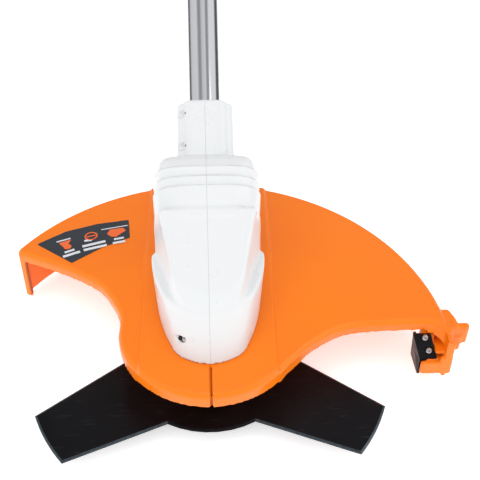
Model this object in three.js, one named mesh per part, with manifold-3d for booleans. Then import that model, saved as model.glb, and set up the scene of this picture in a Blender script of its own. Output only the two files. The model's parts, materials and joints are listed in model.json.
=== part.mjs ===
// Battery brush cutter in its working pose: three-tooth blade flat, shaft rising to the operator.
// Millimetres. +Z is up along the blade spindle, +Y runs back to the operator, and the origin is
// on the spindle axis at the flat sole of the glide cup.
import * as THREE from "three";
import { mergeVertices } from "three/addons/utils/BufferGeometryUtils.js";
import Module from "manifold-3d";

const wasm = await Module();
wasm.setup();

// ---- driving dimensions ----
const GAP = 0.3; // air between pieces that touch on the real tool
const TILT = THREE.MathUtils.degToRad(28); // shaft above the blade plane
const SHAFT_Z = 80; // height at which the shaft axis crosses the spindle axis
const TUBE_R = 13;
const TUBE_WALL = 1.8;
const TUBE_LOW = 62; // positions along the shaft are measured from that crossing
const TUBE_HIGH = 1292;
const BLADE_TOP = 20;
const BLADE_THICK = 1.8;
const BLADE_R = 127.5; // 255 mm cutting circle
const BLADE_BORE_R = 12.7; // one-inch arbor
const BLADE_HUB_R = 61;
const SPINDLE_R = 5;
const WALL = 2.8; // moulded casing wall
const CUP_FLOOR = 61;
const CUP_RIM = 96;
const FLOOR_THICK = 3.2;
const CUP_HALF = 38;
const CUP_REAR = 20; // from its widest line to its back
const CUP_MID_Y = 18; // widest line of the motor cup
const NECK = { low: 96, high: 143, half: 20, crown: 20, keel: -19 };
const GUARD_WALL = 3;
const GUARD_RIM = { x: -3.2, y: -9, r: 172.4, z: 49 };
const GUARD_SLOPE = 0.105; // drop of the fan per millimetre towards the rim
const GUARD_FLAT_R = 80; // inside this radius the fan is level
const SKIRT_LOW = { left: 2.5, right: 9.5 }; // the skirt's lower edge rises towards its right end
const APRON_LIP = 12; // depth of the rolled edge at the front, and along the wings
const WING_LIP = 9.5;
const APRON_R = 62.8;
const APRON_ARC = { from: 186.1, to: 318.1, step: 12 }; // degrees about the spindle
const SKIRT_START = -0.9; // degrees about the rim centre
const SKIRT_END = 146.6;
const END_LOW = 13.2; // foot of the folded end of the skirt
const MOTOR = { statorIn: 11.7, statorOut: 16.8, bellIn: 18.8, bellOut: 20.4, low: 70, high: 87 };
const BEARING = { outer: 9.5, width: 5 };
const LOOP_S = 905; // front handle pivot along the shaft
const LOOP_N = 31; // and above its axis
const EYE_S = 1105; // harness eye along the shaft
const GRIP = { start: 1240, front: 1318, rear: 1440, end: 1528 };
const BATTERY = { half: 37, low: -48, high: 34, inside: 1476, end: 1622 };

// ---- materials ----
function paint(color, roughness, metalness = 0) {
  return new THREE.MeshStandardMaterial({ color, roughness, metalness });
}
const white = paint(0xf0f1f1, 0.32);
const orange = paint(0xff7f22, 0.42);
const black = paint(0x17181a, 0.5);
const rubber = paint(0x232427, 0.85);
const bladeSteel = paint(0x141517, 0.35, 0.7);
const steel = paint(0xb4b7bb, 0.3, 1);
const darkSteel = paint(0x4a4c50, 0.35, 0.9);
const aluminium = paint(0xc9ccd0, 0.25, 1);
const copper = paint(0xb5643a, 0.4, 0.8);
const slate = paint(0x2f3b46, 0.45);
const boardGreen = paint(0x1f6b3a, 0.5);

// ---- solids ----
// A clean indexed copy: shared vertices merged, slivers dropped, faces turned outwards.
function closed(geometry) {
  const g = geometry.clone();
  g.deleteAttribute("normal");
  g.deleteAttribute("uv");
  const merged = mergeVertices(g, 1e-3);
  const p = merged.attributes.position;
  const source = merged.index.array;
  const faces = [];
  let volume = 0;
  const [a, b, c] = [new THREE.Vector3(), new THREE.Vector3(), new THREE.Vector3()];
  for (let i = 0; i < source.length; i += 3) {
    const [u, v, w] = [source[i], source[i + 1], source[i + 2]];
    if (u === v || v === w || u === w) continue;
    faces.push(u, v, w);
    a.fromBufferAttribute(p, u);
    b.fromBufferAttribute(p, v);
    c.fromBufferAttribute(p, w);
    volume += a.dot(b.cross(c));
  }
  if (volume < 0) {
    for (let i = 0; i < faces.length; i += 3) {
      [faces[i + 1], faces[i + 2]] = [faces[i + 2], faces[i + 1]];
    }
  }
  merged.setIndex(faces);
  return merged;
}

function toSolid(geometry) {
  const g = closed(geometry);
  return new wasm.Manifold(
    new wasm.Mesh({
      numProp: 3,
      vertProperties: new Float32Array(g.attributes.position.array),
      triVerts: new Uint32Array(g.index.array),
    }),
  );
}

function toGeometry(manifold) {
  const m = manifold.getMesh();
  const g = new THREE.BufferGeometry();
  g.setAttribute("position", new THREE.BufferAttribute(new Float32Array(m.vertProperties), 3));
  g.setIndex(new THREE.BufferAttribute(new Uint32Array(m.triVerts), 1));
  return g;
}

function join(first, ...rest) {
  return toGeometry(rest.reduce((sum, g) => sum.add(toSolid(g)), toSolid(first)));
}

function cut(first, ...rest) {
  return toGeometry(rest.reduce((sum, g) => sum.subtract(toSolid(g)), toSolid(first)));
}

function common(first, ...rest) {
  return toGeometry(rest.reduce((sum, g) => sum.intersect(toSolid(g)), toSolid(first)));
}

// ---- geometry builders ----
function box(x0, x1, y0, y1, z0, z1) {
  const g = new THREE.BoxGeometry(x1 - x0, y1 - y0, z1 - z0);
  return g.translate((x0 + x1) / 2, (y0 + y1) / 2, (z0 + z1) / 2);
}

// A closed [radius, z] profile turned about +Z.
function turned(profile, segments = 24) {
  const points = profile.map(([r, z]) => new THREE.Vector2(r, z));
  points.push(points[0].clone());
  return closed(new THREE.LatheGeometry(points, segments).rotateX(Math.PI / 2));
}

function disc(r, z0, z1, segments = 24) {
  return turned([[0, z0], [r, z0], [r, z1], [0, z1]], segments);
}

function ring(rIn, rOut, z0, z1, segments = 24) {
  return turned([[rIn, z0], [rOut, z0], [rOut, z1], [rIn, z1]], segments);
}

// A rod from x0 to x1 along +X at the given y and z.
function rodX(r, x0, x1, y, z, segments = 16) {
  return disc(r, x0, x1, segments).rotateY(Math.PI / 2).translate(0, y, z);
}

// Turns a shape made about +Z so that its axis runs along +Y, the shaft's own direction.
function alongShaft(geometry) {
  return geometry.rotateX(-Math.PI / 2);
}

function prism(points, z0, z1) {
  const shape = new THREE.Shape(points.map(([x, y]) => new THREE.Vector2(x, y)));
  return extruded(shape, z0, z1);
}

function extruded(shape, z0, z1, curveSegments = 8) {
  const g = new THREE.ExtrudeGeometry(shape, { depth: z1 - z0, bevelEnabled: false, curveSegments });
  return closed(g.translate(0, 0, z0));
}

// A side profile in the shaft's frame, [along, up] pairs, given a thickness across from x0 to x1.
function slab(points, x0, x1) {
  return prism(points, x0, x1).applyMatrix4(
    new THREE.Matrix4().makeBasis(
      new THREE.Vector3(0, 1, 0),
      new THREE.Vector3(0, 0, 1),
      new THREE.Vector3(1, 0, 0),
    ),
  );
}

// A closed skin over a row of rings that all have the same number of points.
function loft(rings) {
  const n = rings[0].length;
  const points = rings.flat();
  const faces = [];
  for (let k = 0; k + 1 < rings.length; k++) {
    for (let i = 0; i < n; i++) {
      const [a, b] = [k * n + i, k * n + ((i + 1) % n)];
      faces.push(a, b, b + n, a, b + n, a + n);
    }
  }
  [0, rings.length - 1].forEach((k) => {
    const centre = new THREE.Vector3();
    rings[k].forEach((p) => centre.addScaledVector(p, 1 / n));
    const hub = points.push(centre) - 1;
    for (let i = 0; i < n; i++) {
      const [a, b] = [k * n + i, k * n + ((i + 1) % n)];
      faces.push(...(k ? [a, b, hub] : [b, a, hub]));
    }
  });
  const g = new THREE.BufferGeometry().setFromPoints(points);
  g.setIndex(faces);
  return closed(g);
}

// A round or oval section carried along a curve.
function swept(curve, width, height, steps, sides = 12) {
  const shape = new THREE.Shape();
  shape.absellipse(0, 0, height / 2, width / 2, 0, Math.PI * 2);
  const g = new THREE.ExtrudeGeometry(shape, { extrudePath: curve, steps, curveSegments: sides });
  return closed(g);
}

// ---- the tree of pieces ----
const cutter = new THREE.Group();
const shaft = new THREE.Group(); // its own +Y runs up the shaft, its own +Z is normal to it
shaft.position.z = SHAFT_Z;
shaft.rotation.x = TILT;
cutter.add(shaft);

function piece(name, geometry, material, parent = cutter) {
  const mesh = new THREE.Mesh(geometry, material);
  mesh.name = name;
  parent.add(mesh);
  return mesh;
}

// ---- motor casing ----
const SECTION_POINTS = 18;
const CUP_POINTS = 24;

// One ring of a rounded section in the shaft's frame: superellipse above and below the axis.
function shaftRing(s, half, top, bottom, power, inset) {
  const points = [];
  for (let i = 0; i < SECTION_POINTS; i++) {
    const a = (i / SECTION_POINTS) * Math.PI * 2;
    const [c, k] = [Math.cos(a), Math.sin(a)];
    const x = Math.sign(c) * Math.abs(c) ** (2 / power) * (half - inset);
    const reach = (k > 0 ? top : -bottom) - inset;
    const z = Math.sign(k) * Math.abs(k) ** (2 / power) * reach;
    points.push(new THREE.Vector3(x, s, z));
  }
  return points;
}

function neckSolid() {
  const section = (s, shrink) =>
    shaftRing(s, NECK.half - shrink, NECK.crown - shrink, NECK.keel + shrink, 3, 0);
  return loft([section(NECK.low, 0), section(NECK.high - 2, 0), section(NECK.high, 2)]);
}

// Stations of the shoulder along the shaft: position, half width, top and bottom. Its three
// overlapping ribs step outwards towards the blade.
const SHOULDER = [
  [100, 29, 20.5, -21], [95, 33, 24.8, -25], [89.2, 34.8, 27.6, -27],
  [88.2, 35.8, 28.8, -27.6], [82.4, 35.2, 28.1, -27.6], [81.4, 36.3, 29.4, -28],
  [74.8, 35.7, 28.7, -28], [73.8, 36.8, 30, -28], [64, 36.8, 29.8, -28], [52, 36.6, 29.4, -27],
];
const SHOULDER_POWER = 3.4;

function barrelSolid(inset) {
  const [first, last] = [SHOULDER[0][0], SHOULDER[SHOULDER.length - 1][0]];
  return loft(
    SHOULDER.map(([s, half, top, bottom]) => {
      const along = THREE.MathUtils.clamp(s, last + inset, first - inset);
      const shrink = s === first ? inset * 0.4 : inset;
      return shaftRing(along, half, top, bottom, SHOULDER_POWER, shrink);
    }),
  );
}

// Tapering hood with a flat top facet and steep flanks.
function hoodSolid(inset) {
  const stations = [
    [58, 32.8, 36.6],
    [34, 27.4, 36.2],
    [5, 22.2, 31],
    [-6, 20.7, 25],
  ];
  return loft(
    stations.map(([s, facet, foot], i) => {
      const along = i === 0 ? s - inset : i === 3 ? s + inset : s;
      const outline = [
        [facet - inset * 0.6, 29 - inset],
        [foot - inset, 4],
        [foot - inset, -26 + inset],
        [-foot + inset, -26 + inset],
        [-foot + inset, 4],
        [-facet + inset * 0.6, 29 - inset],
      ];
      return outline.map(([x, n]) => new THREE.Vector3(x, along, n));
    }),
  );
}

// Motor cup: oval wall whose nose leans back as it rises.
function cupSolid(inset) {
  const level = (z, nose, half) => {
    const ringPoints = [];
    for (let i = 0; i < CUP_POINTS; i++) {
      const a = (i / CUP_POINTS) * Math.PI * 2;
      const [c, k] = [Math.cos(a), Math.sin(a)];
      const depth = k < 0 ? CUP_MID_Y - nose : CUP_REAR;
      const power = k < 0 ? 1.75 : 3;
      const x = Math.sign(c) * Math.abs(c) ** (2 / power) * (half - inset);
      const y = CUP_MID_Y + Math.sign(k) * Math.abs(k) ** (2 / power) * (depth - inset);
      ringPoints.push(new THREE.Vector3(x, y, z));
    }
    return ringPoints;
  };
  return loft([
    level(CUP_FLOOR, -37.3, CUP_HALF),
    level(CUP_RIM - 4 - inset, -26, CUP_HALF),
    level(CUP_RIM - inset, -23, CUP_HALF - 2.5),
  ]);
}

const shaftToWorld = new THREE.Matrix4().makeRotationX(TILT).setPosition(0, 0, SHAFT_Z);

function inWorld(geometry) {
  return geometry.clone().applyMatrix4(shaftToWorld);
}

const NECK_SCREWS = [
  [133, 16.3],
  [108, 16.3],
  [133, -15.7],
  [108, -15.7],
];
const NOSE_SCREW = { y: -25.4, z: 73.5 };
const GUARD_SCREWS = [
  [28, 12],
  [-28, 12],
  [22, 44],
  [-22, 44],
];

function casing() {
  const above = (z) => box(-80, 80, -80, 220, z, 300);
  const outer = common(
    join(cupSolid(0), inWorld(hoodSolid(0)), inWorld(barrelSolid(0)), inWorld(neckSolid())),
    above(CUP_FLOOR),
  );
  const hollow = common(
    join(cupSolid(WALL), inWorld(hoodSolid(WALL)), inWorld(barrelSolid(WALL))),
    above(CUP_FLOOR + FLOOR_THICK),
  );
  const shell = cut(outer, hollow);
  const bulkhead = common(outer, inWorld(box(-60, 60, 67, 70.5, -40, 40)));
  const bosses = common(outer, rodX(4.6, -40, 40, NOSE_SCREW.y, NOSE_SCREW.z, 12));
  const screwHoles = NECK_SCREWS.map(([s, n]) =>
    inWorld(join(rodX(2.2, -30, 12, s, n, 8), rodX(3.9, -30, -13, s, n, 12))),
  );
  const noseHole = join(
    rodX(2.2, -40, 12, NOSE_SCREW.y, NOSE_SCREW.z, 8),
    rodX(3.9, -40, -13.5, NOSE_SCREW.y, NOSE_SCREW.z, 12),
  );
  const tubeBore = inWorld(alongShaft(disc(TUBE_R + GAP, TUBE_LOW - 1, 160, 20)));
  const hubHole = disc(16.6, CUP_FLOOR - 5, CUP_FLOOR + 6);
  const guardHoles = GUARD_SCREWS.map(([x, y]) =>
    disc(2.4, CUP_FLOOR - 5, CUP_FLOOR + 9, 8).translate(x, y, 0),
  );
  const body = join(shell, bulkhead, bosses);
  return cut(body, tubeBore, hubHole, noseHole, ...screwHoles, ...guardHoles);
}

function addCasing() {
  const whole = casing();
  piece("housing_left", common(whole, box(-80, -GAP / 2, -80, 220, 0, 300)), white);
  piece("housing_right", common(whole, box(GAP / 2, 80, -80, 220, 0, 300)), white);
  const screw = (length) => join(disc(3.4, 0, 2.6, 12), disc(1.9, 2, length, 8));
  NECK_SCREWS.forEach(([s, n], i) => {
    const mesh = piece(`neck_screw_${i + 1}`, screw(24).rotateY(Math.PI / 2), darkSteel, shaft);
    mesh.position.set(-15.8, s, n);
  });
  const nose = piece("nose_screw", screw(25).rotateY(Math.PI / 2), darkSteel);
  nose.position.set(-16.4, NOSE_SCREW.y, NOSE_SCREW.z);
}

// ---- drive: outrunner motor on the spindle ----
function addMotor() {
  const bore = BEARING.outer + 0.1;
  const mount = turned([
    [bore, 62], [15.8, 62], [15.8, 65.2], [26, 65.2], [26, 68], [MOTOR.statorIn - 0.3, 68],
    [MOTOR.statorIn - 0.3, MOTOR.high], [bore, MOTOR.high],
  ]);
  piece("motor_mount", mount, aluminium);
  [63, 81.5].forEach((z, i) => {
    const race = turned([
      [SPINDLE_R + 0.05, z], [BEARING.outer, z], [BEARING.outer, z + BEARING.width],
      [SPINDLE_R + 0.05, z + BEARING.width],
    ]);
    piece(i ? "bearing_upper" : "bearing_lower", race, steel);
  });
  addStator();
  const bell = join(
    ring(MOTOR.bellIn, MOTOR.bellOut, MOTOR.low, MOTOR.high + 3),
    ring(SPINDLE_R + 0.02, MOTOR.bellOut, MOTOR.high + 0.6, MOTOR.high + 3),
    ring(SPINDLE_R + 0.02, 9, MOTOR.high + 2, MOTOR.high + 8, 24),
  );
  piece("rotor_bell", bell, darkSteel);
  piece("rotor_magnets", ring(17.2, MOTOR.bellIn - GAP / 3, MOTOR.low + 0.5, MOTOR.high - 1), steel);
}

const SLOTS = 12;

function statorTooth(index) {
  return box(12.8, MOTOR.statorOut, -1.3, 1.3, 72, 84).rotateZ((index / SLOTS) * Math.PI * 2);
}

function addStator() {
  let core = ring(MOTOR.statorIn, 13.2, 71, 85, 24);
  let winding = join(ring(13.8, 16.2, 69, 71.7), ring(13.8, 16.2, 84.3, 86.4));
  for (let i = 0; i < SLOTS; i++) {
    core = join(core, statorTooth(i));
    const coil = box(13.9, 16.1, -0.9, 0.9, 70, 86);
    winding = join(winding, coil.rotateZ(((i + 0.5) / SLOTS) * Math.PI * 2));
  }
  piece("stator_core", core, darkSteel);
  piece("stator_winding", winding, copper);
}

// ---- spindle, blade and its clamping stack ----
function bladeShape() {
  const shape = new THREE.Shape();
  const [tipHalf, rootHalf] = [22, 31.4];
  for (let arm = 0; arm < 3; arm++) {
    const turn = Math.PI / 2 + (arm * Math.PI * 2) / 3;
    const place = (along, across) =>
      new THREE.Vector2(
        along * Math.cos(turn) - across * Math.sin(turn),
        along * Math.sin(turn) + across * Math.cos(turn),
      );
    const tipAngle = Math.asin(tipHalf / BLADE_R);
    const corner = BLADE_R * Math.cos(tipAngle);
    const root = Math.sqrt(BLADE_HUB_R ** 2 - rootHalf ** 2);
    const start = place(root, -rootHalf);
    if (!arm) shape.moveTo(start.x, start.y);
    const tip = place(corner, -tipHalf);
    shape.lineTo(tip.x, tip.y);
    shape.absarc(0, 0, BLADE_R, turn - tipAngle, turn + tipAngle);
    const back = place(root, rootHalf);
    shape.lineTo(back.x, back.y);
    const rootAngle = Math.asin(rootHalf / BLADE_HUB_R);
    shape.absarc(0, 0, BLADE_HUB_R, turn + rootAngle, turn + (Math.PI * 2) / 3 - rootAngle);
  }
  shape.closePath();
  const bore = new THREE.Path();
  bore.absarc(0, 0, BLADE_BORE_R, 0, Math.PI * 2);
  shape.holes.push(bore);
  return shape;
}

function addSpindleAndBlade() {
  const threadLow = 5.4;
  piece("spindle", disc(SPINDLE_R, threadLow, MOTOR.high + 9, 24), steel);
  const flange = turned([
    [SPINDLE_R + 0.1, BLADE_TOP - 1.6], [BLADE_BORE_R - 0.4, BLADE_TOP - 1.6],
    [BLADE_BORE_R - 0.4, BLADE_TOP + 0.2], [30, BLADE_TOP + 0.2], [30, BLADE_TOP + 3],
    [16, BLADE_TOP + 7], [12.5, BLADE_TOP + 10], [12.5, 57], [SPINDLE_R + 0.1, 57],
  ]);
  piece("drive_flange", flange, darkSteel);
  piece("blade", extruded(bladeShape(), BLADE_TOP - BLADE_THICK, BLADE_TOP, 10), bladeSteel);
  const under = BLADE_TOP - BLADE_THICK - 0.2;
  const washer = turned([
    [SPINDLE_R + 0.1, under - 3.4], [22, under - 3.4], [25, under - 1.5], [25, under], [16, under],
    [14, under - 1.2], [SPINDLE_R + 0.1, under - 1.2],
  ]);
  piece("thrust_washer", washer, steel);
  const nutTop = under - 3.7;
  const hexagon = [0, 1, 2, 3, 4, 5].map((i) => [
    9.2 * Math.cos((i * Math.PI) / 3),
    9.2 * Math.sin((i * Math.PI) / 3),
  ]);
  const nut = cut(prism(hexagon, 6.2, nutTop), disc(SPINDLE_R + 0.1, 0, 30, 24));
  piece("blade_nut", nut, steel);
  const pocket = prism(hexagon.map(([x, y]) => [x * 1.04, y * 1.04]), 5, 30);
  const cup = turned([
    [0, 0], [15, 0], [30, 3.4], [39, 9.5], [41, 14], [41, under - 2.2], [38.6, under - 2.2],
    [37.6, 13.5], [28.6, 6.6], [20, 5.2], [13, 5.2], [13, nutTop - 0.4], [0, nutTop - 0.4],
  ]);
  piece("glide_cup", cut(cup, pocket), black);
}

// ---- guard ----
// Front edges of the two wings in plan, from the apron out to the rim.
const LEFT_EDGE = [[-61.3, 6], [-65.9, 20.7], [-80.3, 43.5], [-109.6, 65.8], [-143.7, 85.6]];
const RIGHT_EDGE = [[52.4, -34.8], [71, -18.1], [96.9, -3.7], [133.7, 2.2], [157.2, 3.7], [168.5, -2.6]];

// Evenly spaced points on a smooth curve in plan.
function spaced(corners, count) {
  const curve = new THREE.CatmullRomCurve3(corners.map(([x, y]) => new THREE.Vector3(x, y, 0)));
  return curve.getSpacedPoints(count).map((p) => [p.x, p.y]);
}

function rimPoint(degrees, r) {
  const a = THREE.MathUtils.degToRad(degrees);
  return [GUARD_RIM.x + r * Math.cos(a), GUARD_RIM.y + r * Math.sin(a)];
}

// Moves every corner of a closed anticlockwise outline inwards along the bisector of its sides.
function inset(outline, distance) {
  const unit = (from, to) => {
    const length = Math.hypot(to[0] - from[0], to[1] - from[1]);
    return [(to[0] - from[0]) / length, (to[1] - from[1]) / length];
  };
  return outline.map((p, i) => {
    const before = unit(outline[(i + outline.length - 1) % outline.length], p);
    const after = unit(p, outline[(i + 1) % outline.length]);
    const normal = [-(before[1] + after[1]), before[0] + after[0]];
    const k = (2 * distance) / (normal[0] ** 2 + normal[1] ** 2);
    return [p[0] + normal[0] * k, p[1] + normal[1] * k];
  });
}

// The guard's outline in plan, anticlockwise: rim, left wing, apron, right wing.
function guardPlan() {
  const points = [];
  const [first, arcs] = [SKIRT_START + 7, 24];
  for (let i = 0; i <= arcs; i++) {
    points.push(rimPoint(first + ((SKIRT_END - first) * i) / arcs, GUARD_RIM.r));
  }
  points.push(...spaced(LEFT_EDGE, 7).reverse().slice(1));
  for (let d = APRON_ARC.from; d <= APRON_ARC.to; d += APRON_ARC.step) {
    const a = THREE.MathUtils.degToRad(d);
    points.push([APRON_R * Math.cos(a), APRON_R * Math.sin(a)]);
  }
  points.push(...spaced(RIGHT_EDGE, 9).slice(0, -1));
  return points;
}

// Everything between the fan's upper surface, shifted by `lift`, and the same surface `depth` lower.
function fanLayer(lift, depth) {
  const level = GUARD_RIM.z + GUARD_SLOPE * (GUARD_RIM.r - GUARD_FLAT_R) + lift;
  const edge = GUARD_RIM.r + 30;
  const edgeZ = GUARD_RIM.z - GUARD_SLOPE * 30 + lift;
  const layer = turned(
    [[0, level - depth], [GUARD_FLAT_R, level - depth], [edge, edgeZ - depth], [edge, edgeZ],
      [GUARD_FLAT_R, level], [0, level]],
    40,
  );
  return layer.translate(GUARD_RIM.x, GUARD_RIM.y, 0);
}

const SKIRT_STEP = 6; // degrees between the skirt's facets

function skirtSector(from, to, rIn, rOut, z0, z1) {
  const points = [];
  for (let d = from; d < to; d += SKIRT_STEP) points.push(rimPoint(d, rOut));
  points.push(rimPoint(to, rOut));
  const inner = [];
  for (let d = from; d < to; d += SKIRT_STEP) inner.push(rimPoint(d, rIn));
  inner.push(rimPoint(to, rIn));
  return prism([...points, ...inner.reverse()], z0, z1);
}

// The space under the skirt's slanting lower edge.
function skirtFloor() {
  const reach = GUARD_RIM.r + 10;
  const across = [[-reach, -20], [reach, -20], [reach, SKIRT_LOW.right], [-reach, SKIRT_LOW.left]];
  return prism(across, -250, 250).rotateX(Math.PI / 2);
}

// A plate in the XZ plane with the given outline, between two positions along Y.
function upright(points, y0, y1) {
  return prism(points, -y1, -y0).rotateX(Math.PI / 2);
}

// The folded end of the skirt at the right: low wall, floor, back wall, rib and arched corner.
function skirtEnd() {
  const arch = [
    [157, 42], [168, 44], [172, 38], [172, END_LOW], [168.4, END_LOW], [168.4, 31],
    [166.6, 35.6], [162.8, 39.2], [157, 41.2],
  ];
  return [
    box(150.2, 172, -12, -9.2, END_LOW, 24.6),
    box(163.4, 172, -12, -9.2, END_LOW, 32),
    box(152, 172, -12, 11, END_LOW, END_LOW + 3),
    box(158, 170, 8.8, 11.8, END_LOW, 46),
    box(164, 170, -8.4, 11, 22, 25),
    upright(arch, -7, -3.6),
  ];
}

// Stepped ear outside the right end of the rim.
function lug() {
  const ledge = prism([[166, 21.4], [170.5, 18.4], [176.5, 4.4], [176.5, 0.4], [166, -1.6]], 38, 46);
  return [ledge, box(166, 185.5, 0.4, 4.4, 24, 45), box(166, 181, -1.6, 6.4, 18, 34)];
}

function guardSolid() {
  const plan = prism(guardPlan(), -10, 90);
  const inner = prism(inset(guardPlan(), GUARD_WALL), -20, 100);
  const fan = common(plan, fanLayer(0, GUARD_WALL));
  const apron = common(plan, disc(APRON_R + 3, 0, 90), fanLayer(0, APRON_LIP));
  const lip = cut(join(common(plan, fanLayer(0, WING_LIP)), apron), inner);
  const saddlePlan = prism([[-49.3, -68], [45.2, -72], [50.1, 200], [-45.3, 200]], 0, 100);
  const saddle = common(plan, saddlePlan, fanLayer(2, 3));
  const wallTop = GUARD_RIM.z - 1.5;
  const skirt = cut(
    skirtSector(SKIRT_START, SKIRT_END, GUARD_RIM.r - GUARD_WALL, GUARD_RIM.r, 0, wallTop),
    skirtFloor(),
  );
  const pillars = GUARD_SCREWS.map(([x, y]) => disc(6, 52, 57.5, 12).translate(x, y, 0));
  const whole = join(fan, saddle, lip, skirt, knifeBoss(), ...skirtEnd(), ...lug(), ...pillars);
  const slit = box(-0.7, 0.7, -70, -42, 30, 70);
  const screwHoles = GUARD_SCREWS.map(([x, y]) => disc(2.4, 40, 80, 8).translate(x, y, 0));
  return cut(whole, disc(17, 30, 90), slit, ...screwHoles);
}

const LABEL = [
  [-129, 92.3], [-109.6, 104.7], [-85.3, 111.9], [-61.7, 114.8], [-59.5, 93], [-79.3, 83.2], [-100.8, 67.9],
];

function addGuard() {
  piece("guard", guardSolid(), orange);
  GUARD_SCREWS.forEach(([x, y], i) => {
    const screw = join(disc(4.4, 48.4, 51.6, 12), disc(2.1, 51, CUP_FLOOR + 5, 8));
    piece(`guard_screw_${i + 1}`, screw, darkSteel).position.set(x, y, 0);
  });
  const label = common(
    prism(LABEL, 0, 90),
    fanLayer(GAP + 0.5, 0.5),
  );
  piece("guard_label", label, slate);
}

// ---- line knife: a folded steel bracket screwed to a boss inside the right end of the skirt ----
const KNIFE_FACE = [
  [144.3, 2, 41],
  [157, 1.4, 40.7],
  [162.3, -8.6, 24.2],
  [149.8, -8.4, 23.8],
];
const KNIFE_NORMAL = new THREE.Vector3(-0.0285, -0.8593, 0.5106).normalize();
const KNIFE_THICK = 1.8;
const KNIFE_SCREWS = [knifePoint(152.9, 0.2), knifePoint(155.9, -4.8)];

// The point of the knife's flat face at the given x and y.
function knifePoint(x, y) {
  const [cx, cy, cz] = KNIFE_FACE[3];
  const rise = (KNIFE_NORMAL.x * (x - cx) + KNIFE_NORMAL.y * (y - cy)) / KNIFE_NORMAL.z;
  return [x, y, cz - rise];
}

// A flat plate with the given corners on its front face, thickened by the given vector.
function plate(corners, thickness) {
  const front = corners.map((c) => new THREE.Vector3(...c));
  return loft([front, front.map((p) => p.clone().add(thickness))]);
}

// Turns a shape made about +Z to stand on the knife's face at the given point.
function onKnife(geometry, point) {
  const turn = new THREE.Quaternion().setFromUnitVectors(new THREE.Vector3(0, 0, 1), KNIFE_NORMAL);
  return geometry.applyQuaternion(turn).translate(...point);
}

function knifeHoles() {
  return KNIFE_SCREWS.map((point) => onKnife(disc(1.4, -9, 3, 8), point));
}

function knifeBoss() {
  const back = KNIFE_NORMAL.clone().multiplyScalar(-KNIFE_THICK - GAP);
  const front = [[150.4, 0.6], [156.6, 0.6], [161, -6.6], [152.4, -6.6]].map(([x, y]) => {
    const [px, py, pz] = knifePoint(x, y);
    return [px + back.x, py + back.y, pz + back.z];
  });
  const body = plate(front, new THREE.Vector3(0, 8, 2));
  return cut(join(body, box(152, 159, 4.8, 10, 34, 49)), ...knifeHoles());
}

function addKnife() {
  const face = plate(KNIFE_FACE, KNIFE_NORMAL.clone().multiplyScalar(-KNIFE_THICK));
  const side = [
    [144.3, 2, 41], [149.8, -8.4, 23.8], [149.4, -8.4, 9.3], [147.3, 7.1, 13], [145.7, 6.6, 38],
  ];
  const fin = plate(side, new THREE.Vector3(2, 0, 0));
  piece("line_knife", cut(join(face, fin), ...knifeHoles()), bladeSteel);
  KNIFE_SCREWS.forEach((point, i) => {
    const screw = join(disc(2.3, GAP, 1.9, 12), disc(1.1, -7, 1, 8));
    piece(`knife_screw_${i + 1}`, onKnife(screw, point), steel);
  });
}

// ---- shaft ----
function addShaft() {
  const tube = ring(TUBE_R - TUBE_WALL, TUBE_R, TUBE_LOW, TUBE_HIGH, 24);
  piece("shaft_tube", alongShaft(tube), aluminium, shaft);
  const route = new THREE.CatmullRomCurve3([
    new THREE.Vector3(0, 18, -20), new THREE.Vector3(0, 26, -6), new THREE.Vector3(0, 44, 0),
    new THREE.Vector3(0, 80, 0), new THREE.Vector3(0, 700, 0), new THREE.Vector3(0, GRIP.front + 8, 0),
  ]);
  piece("motor_cable", swept(route, 6, 6, 30, 4), rubber, shaft);
}

// ---- front loop handle ----
function archCurve(from, to) {
  const full = new THREE.CatmullRomCurve3([
    new THREE.Vector3(25, 0, 3), new THREE.Vector3(30, 0, 24), new THREE.Vector3(54, 0, 48),
    new THREE.Vector3(66, 0, 82), new THREE.Vector3(46, 0, 116), new THREE.Vector3(0, 0, 127),
    new THREE.Vector3(-46, 0, 116), new THREE.Vector3(-66, 0, 82), new THREE.Vector3(-54, 0, 48),
    new THREE.Vector3(-30, 0, 24), new THREE.Vector3(-25, 0, 3),
  ]);
  const points = [];
  for (let i = 0; i <= 16; i++) points.push(full.getPointAt(from + ((to - from) * i) / 16));
  return new THREE.CatmullRomCurve3(points);
}

const LOOP_R = 10;
const EAR_HALF = 14;

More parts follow.
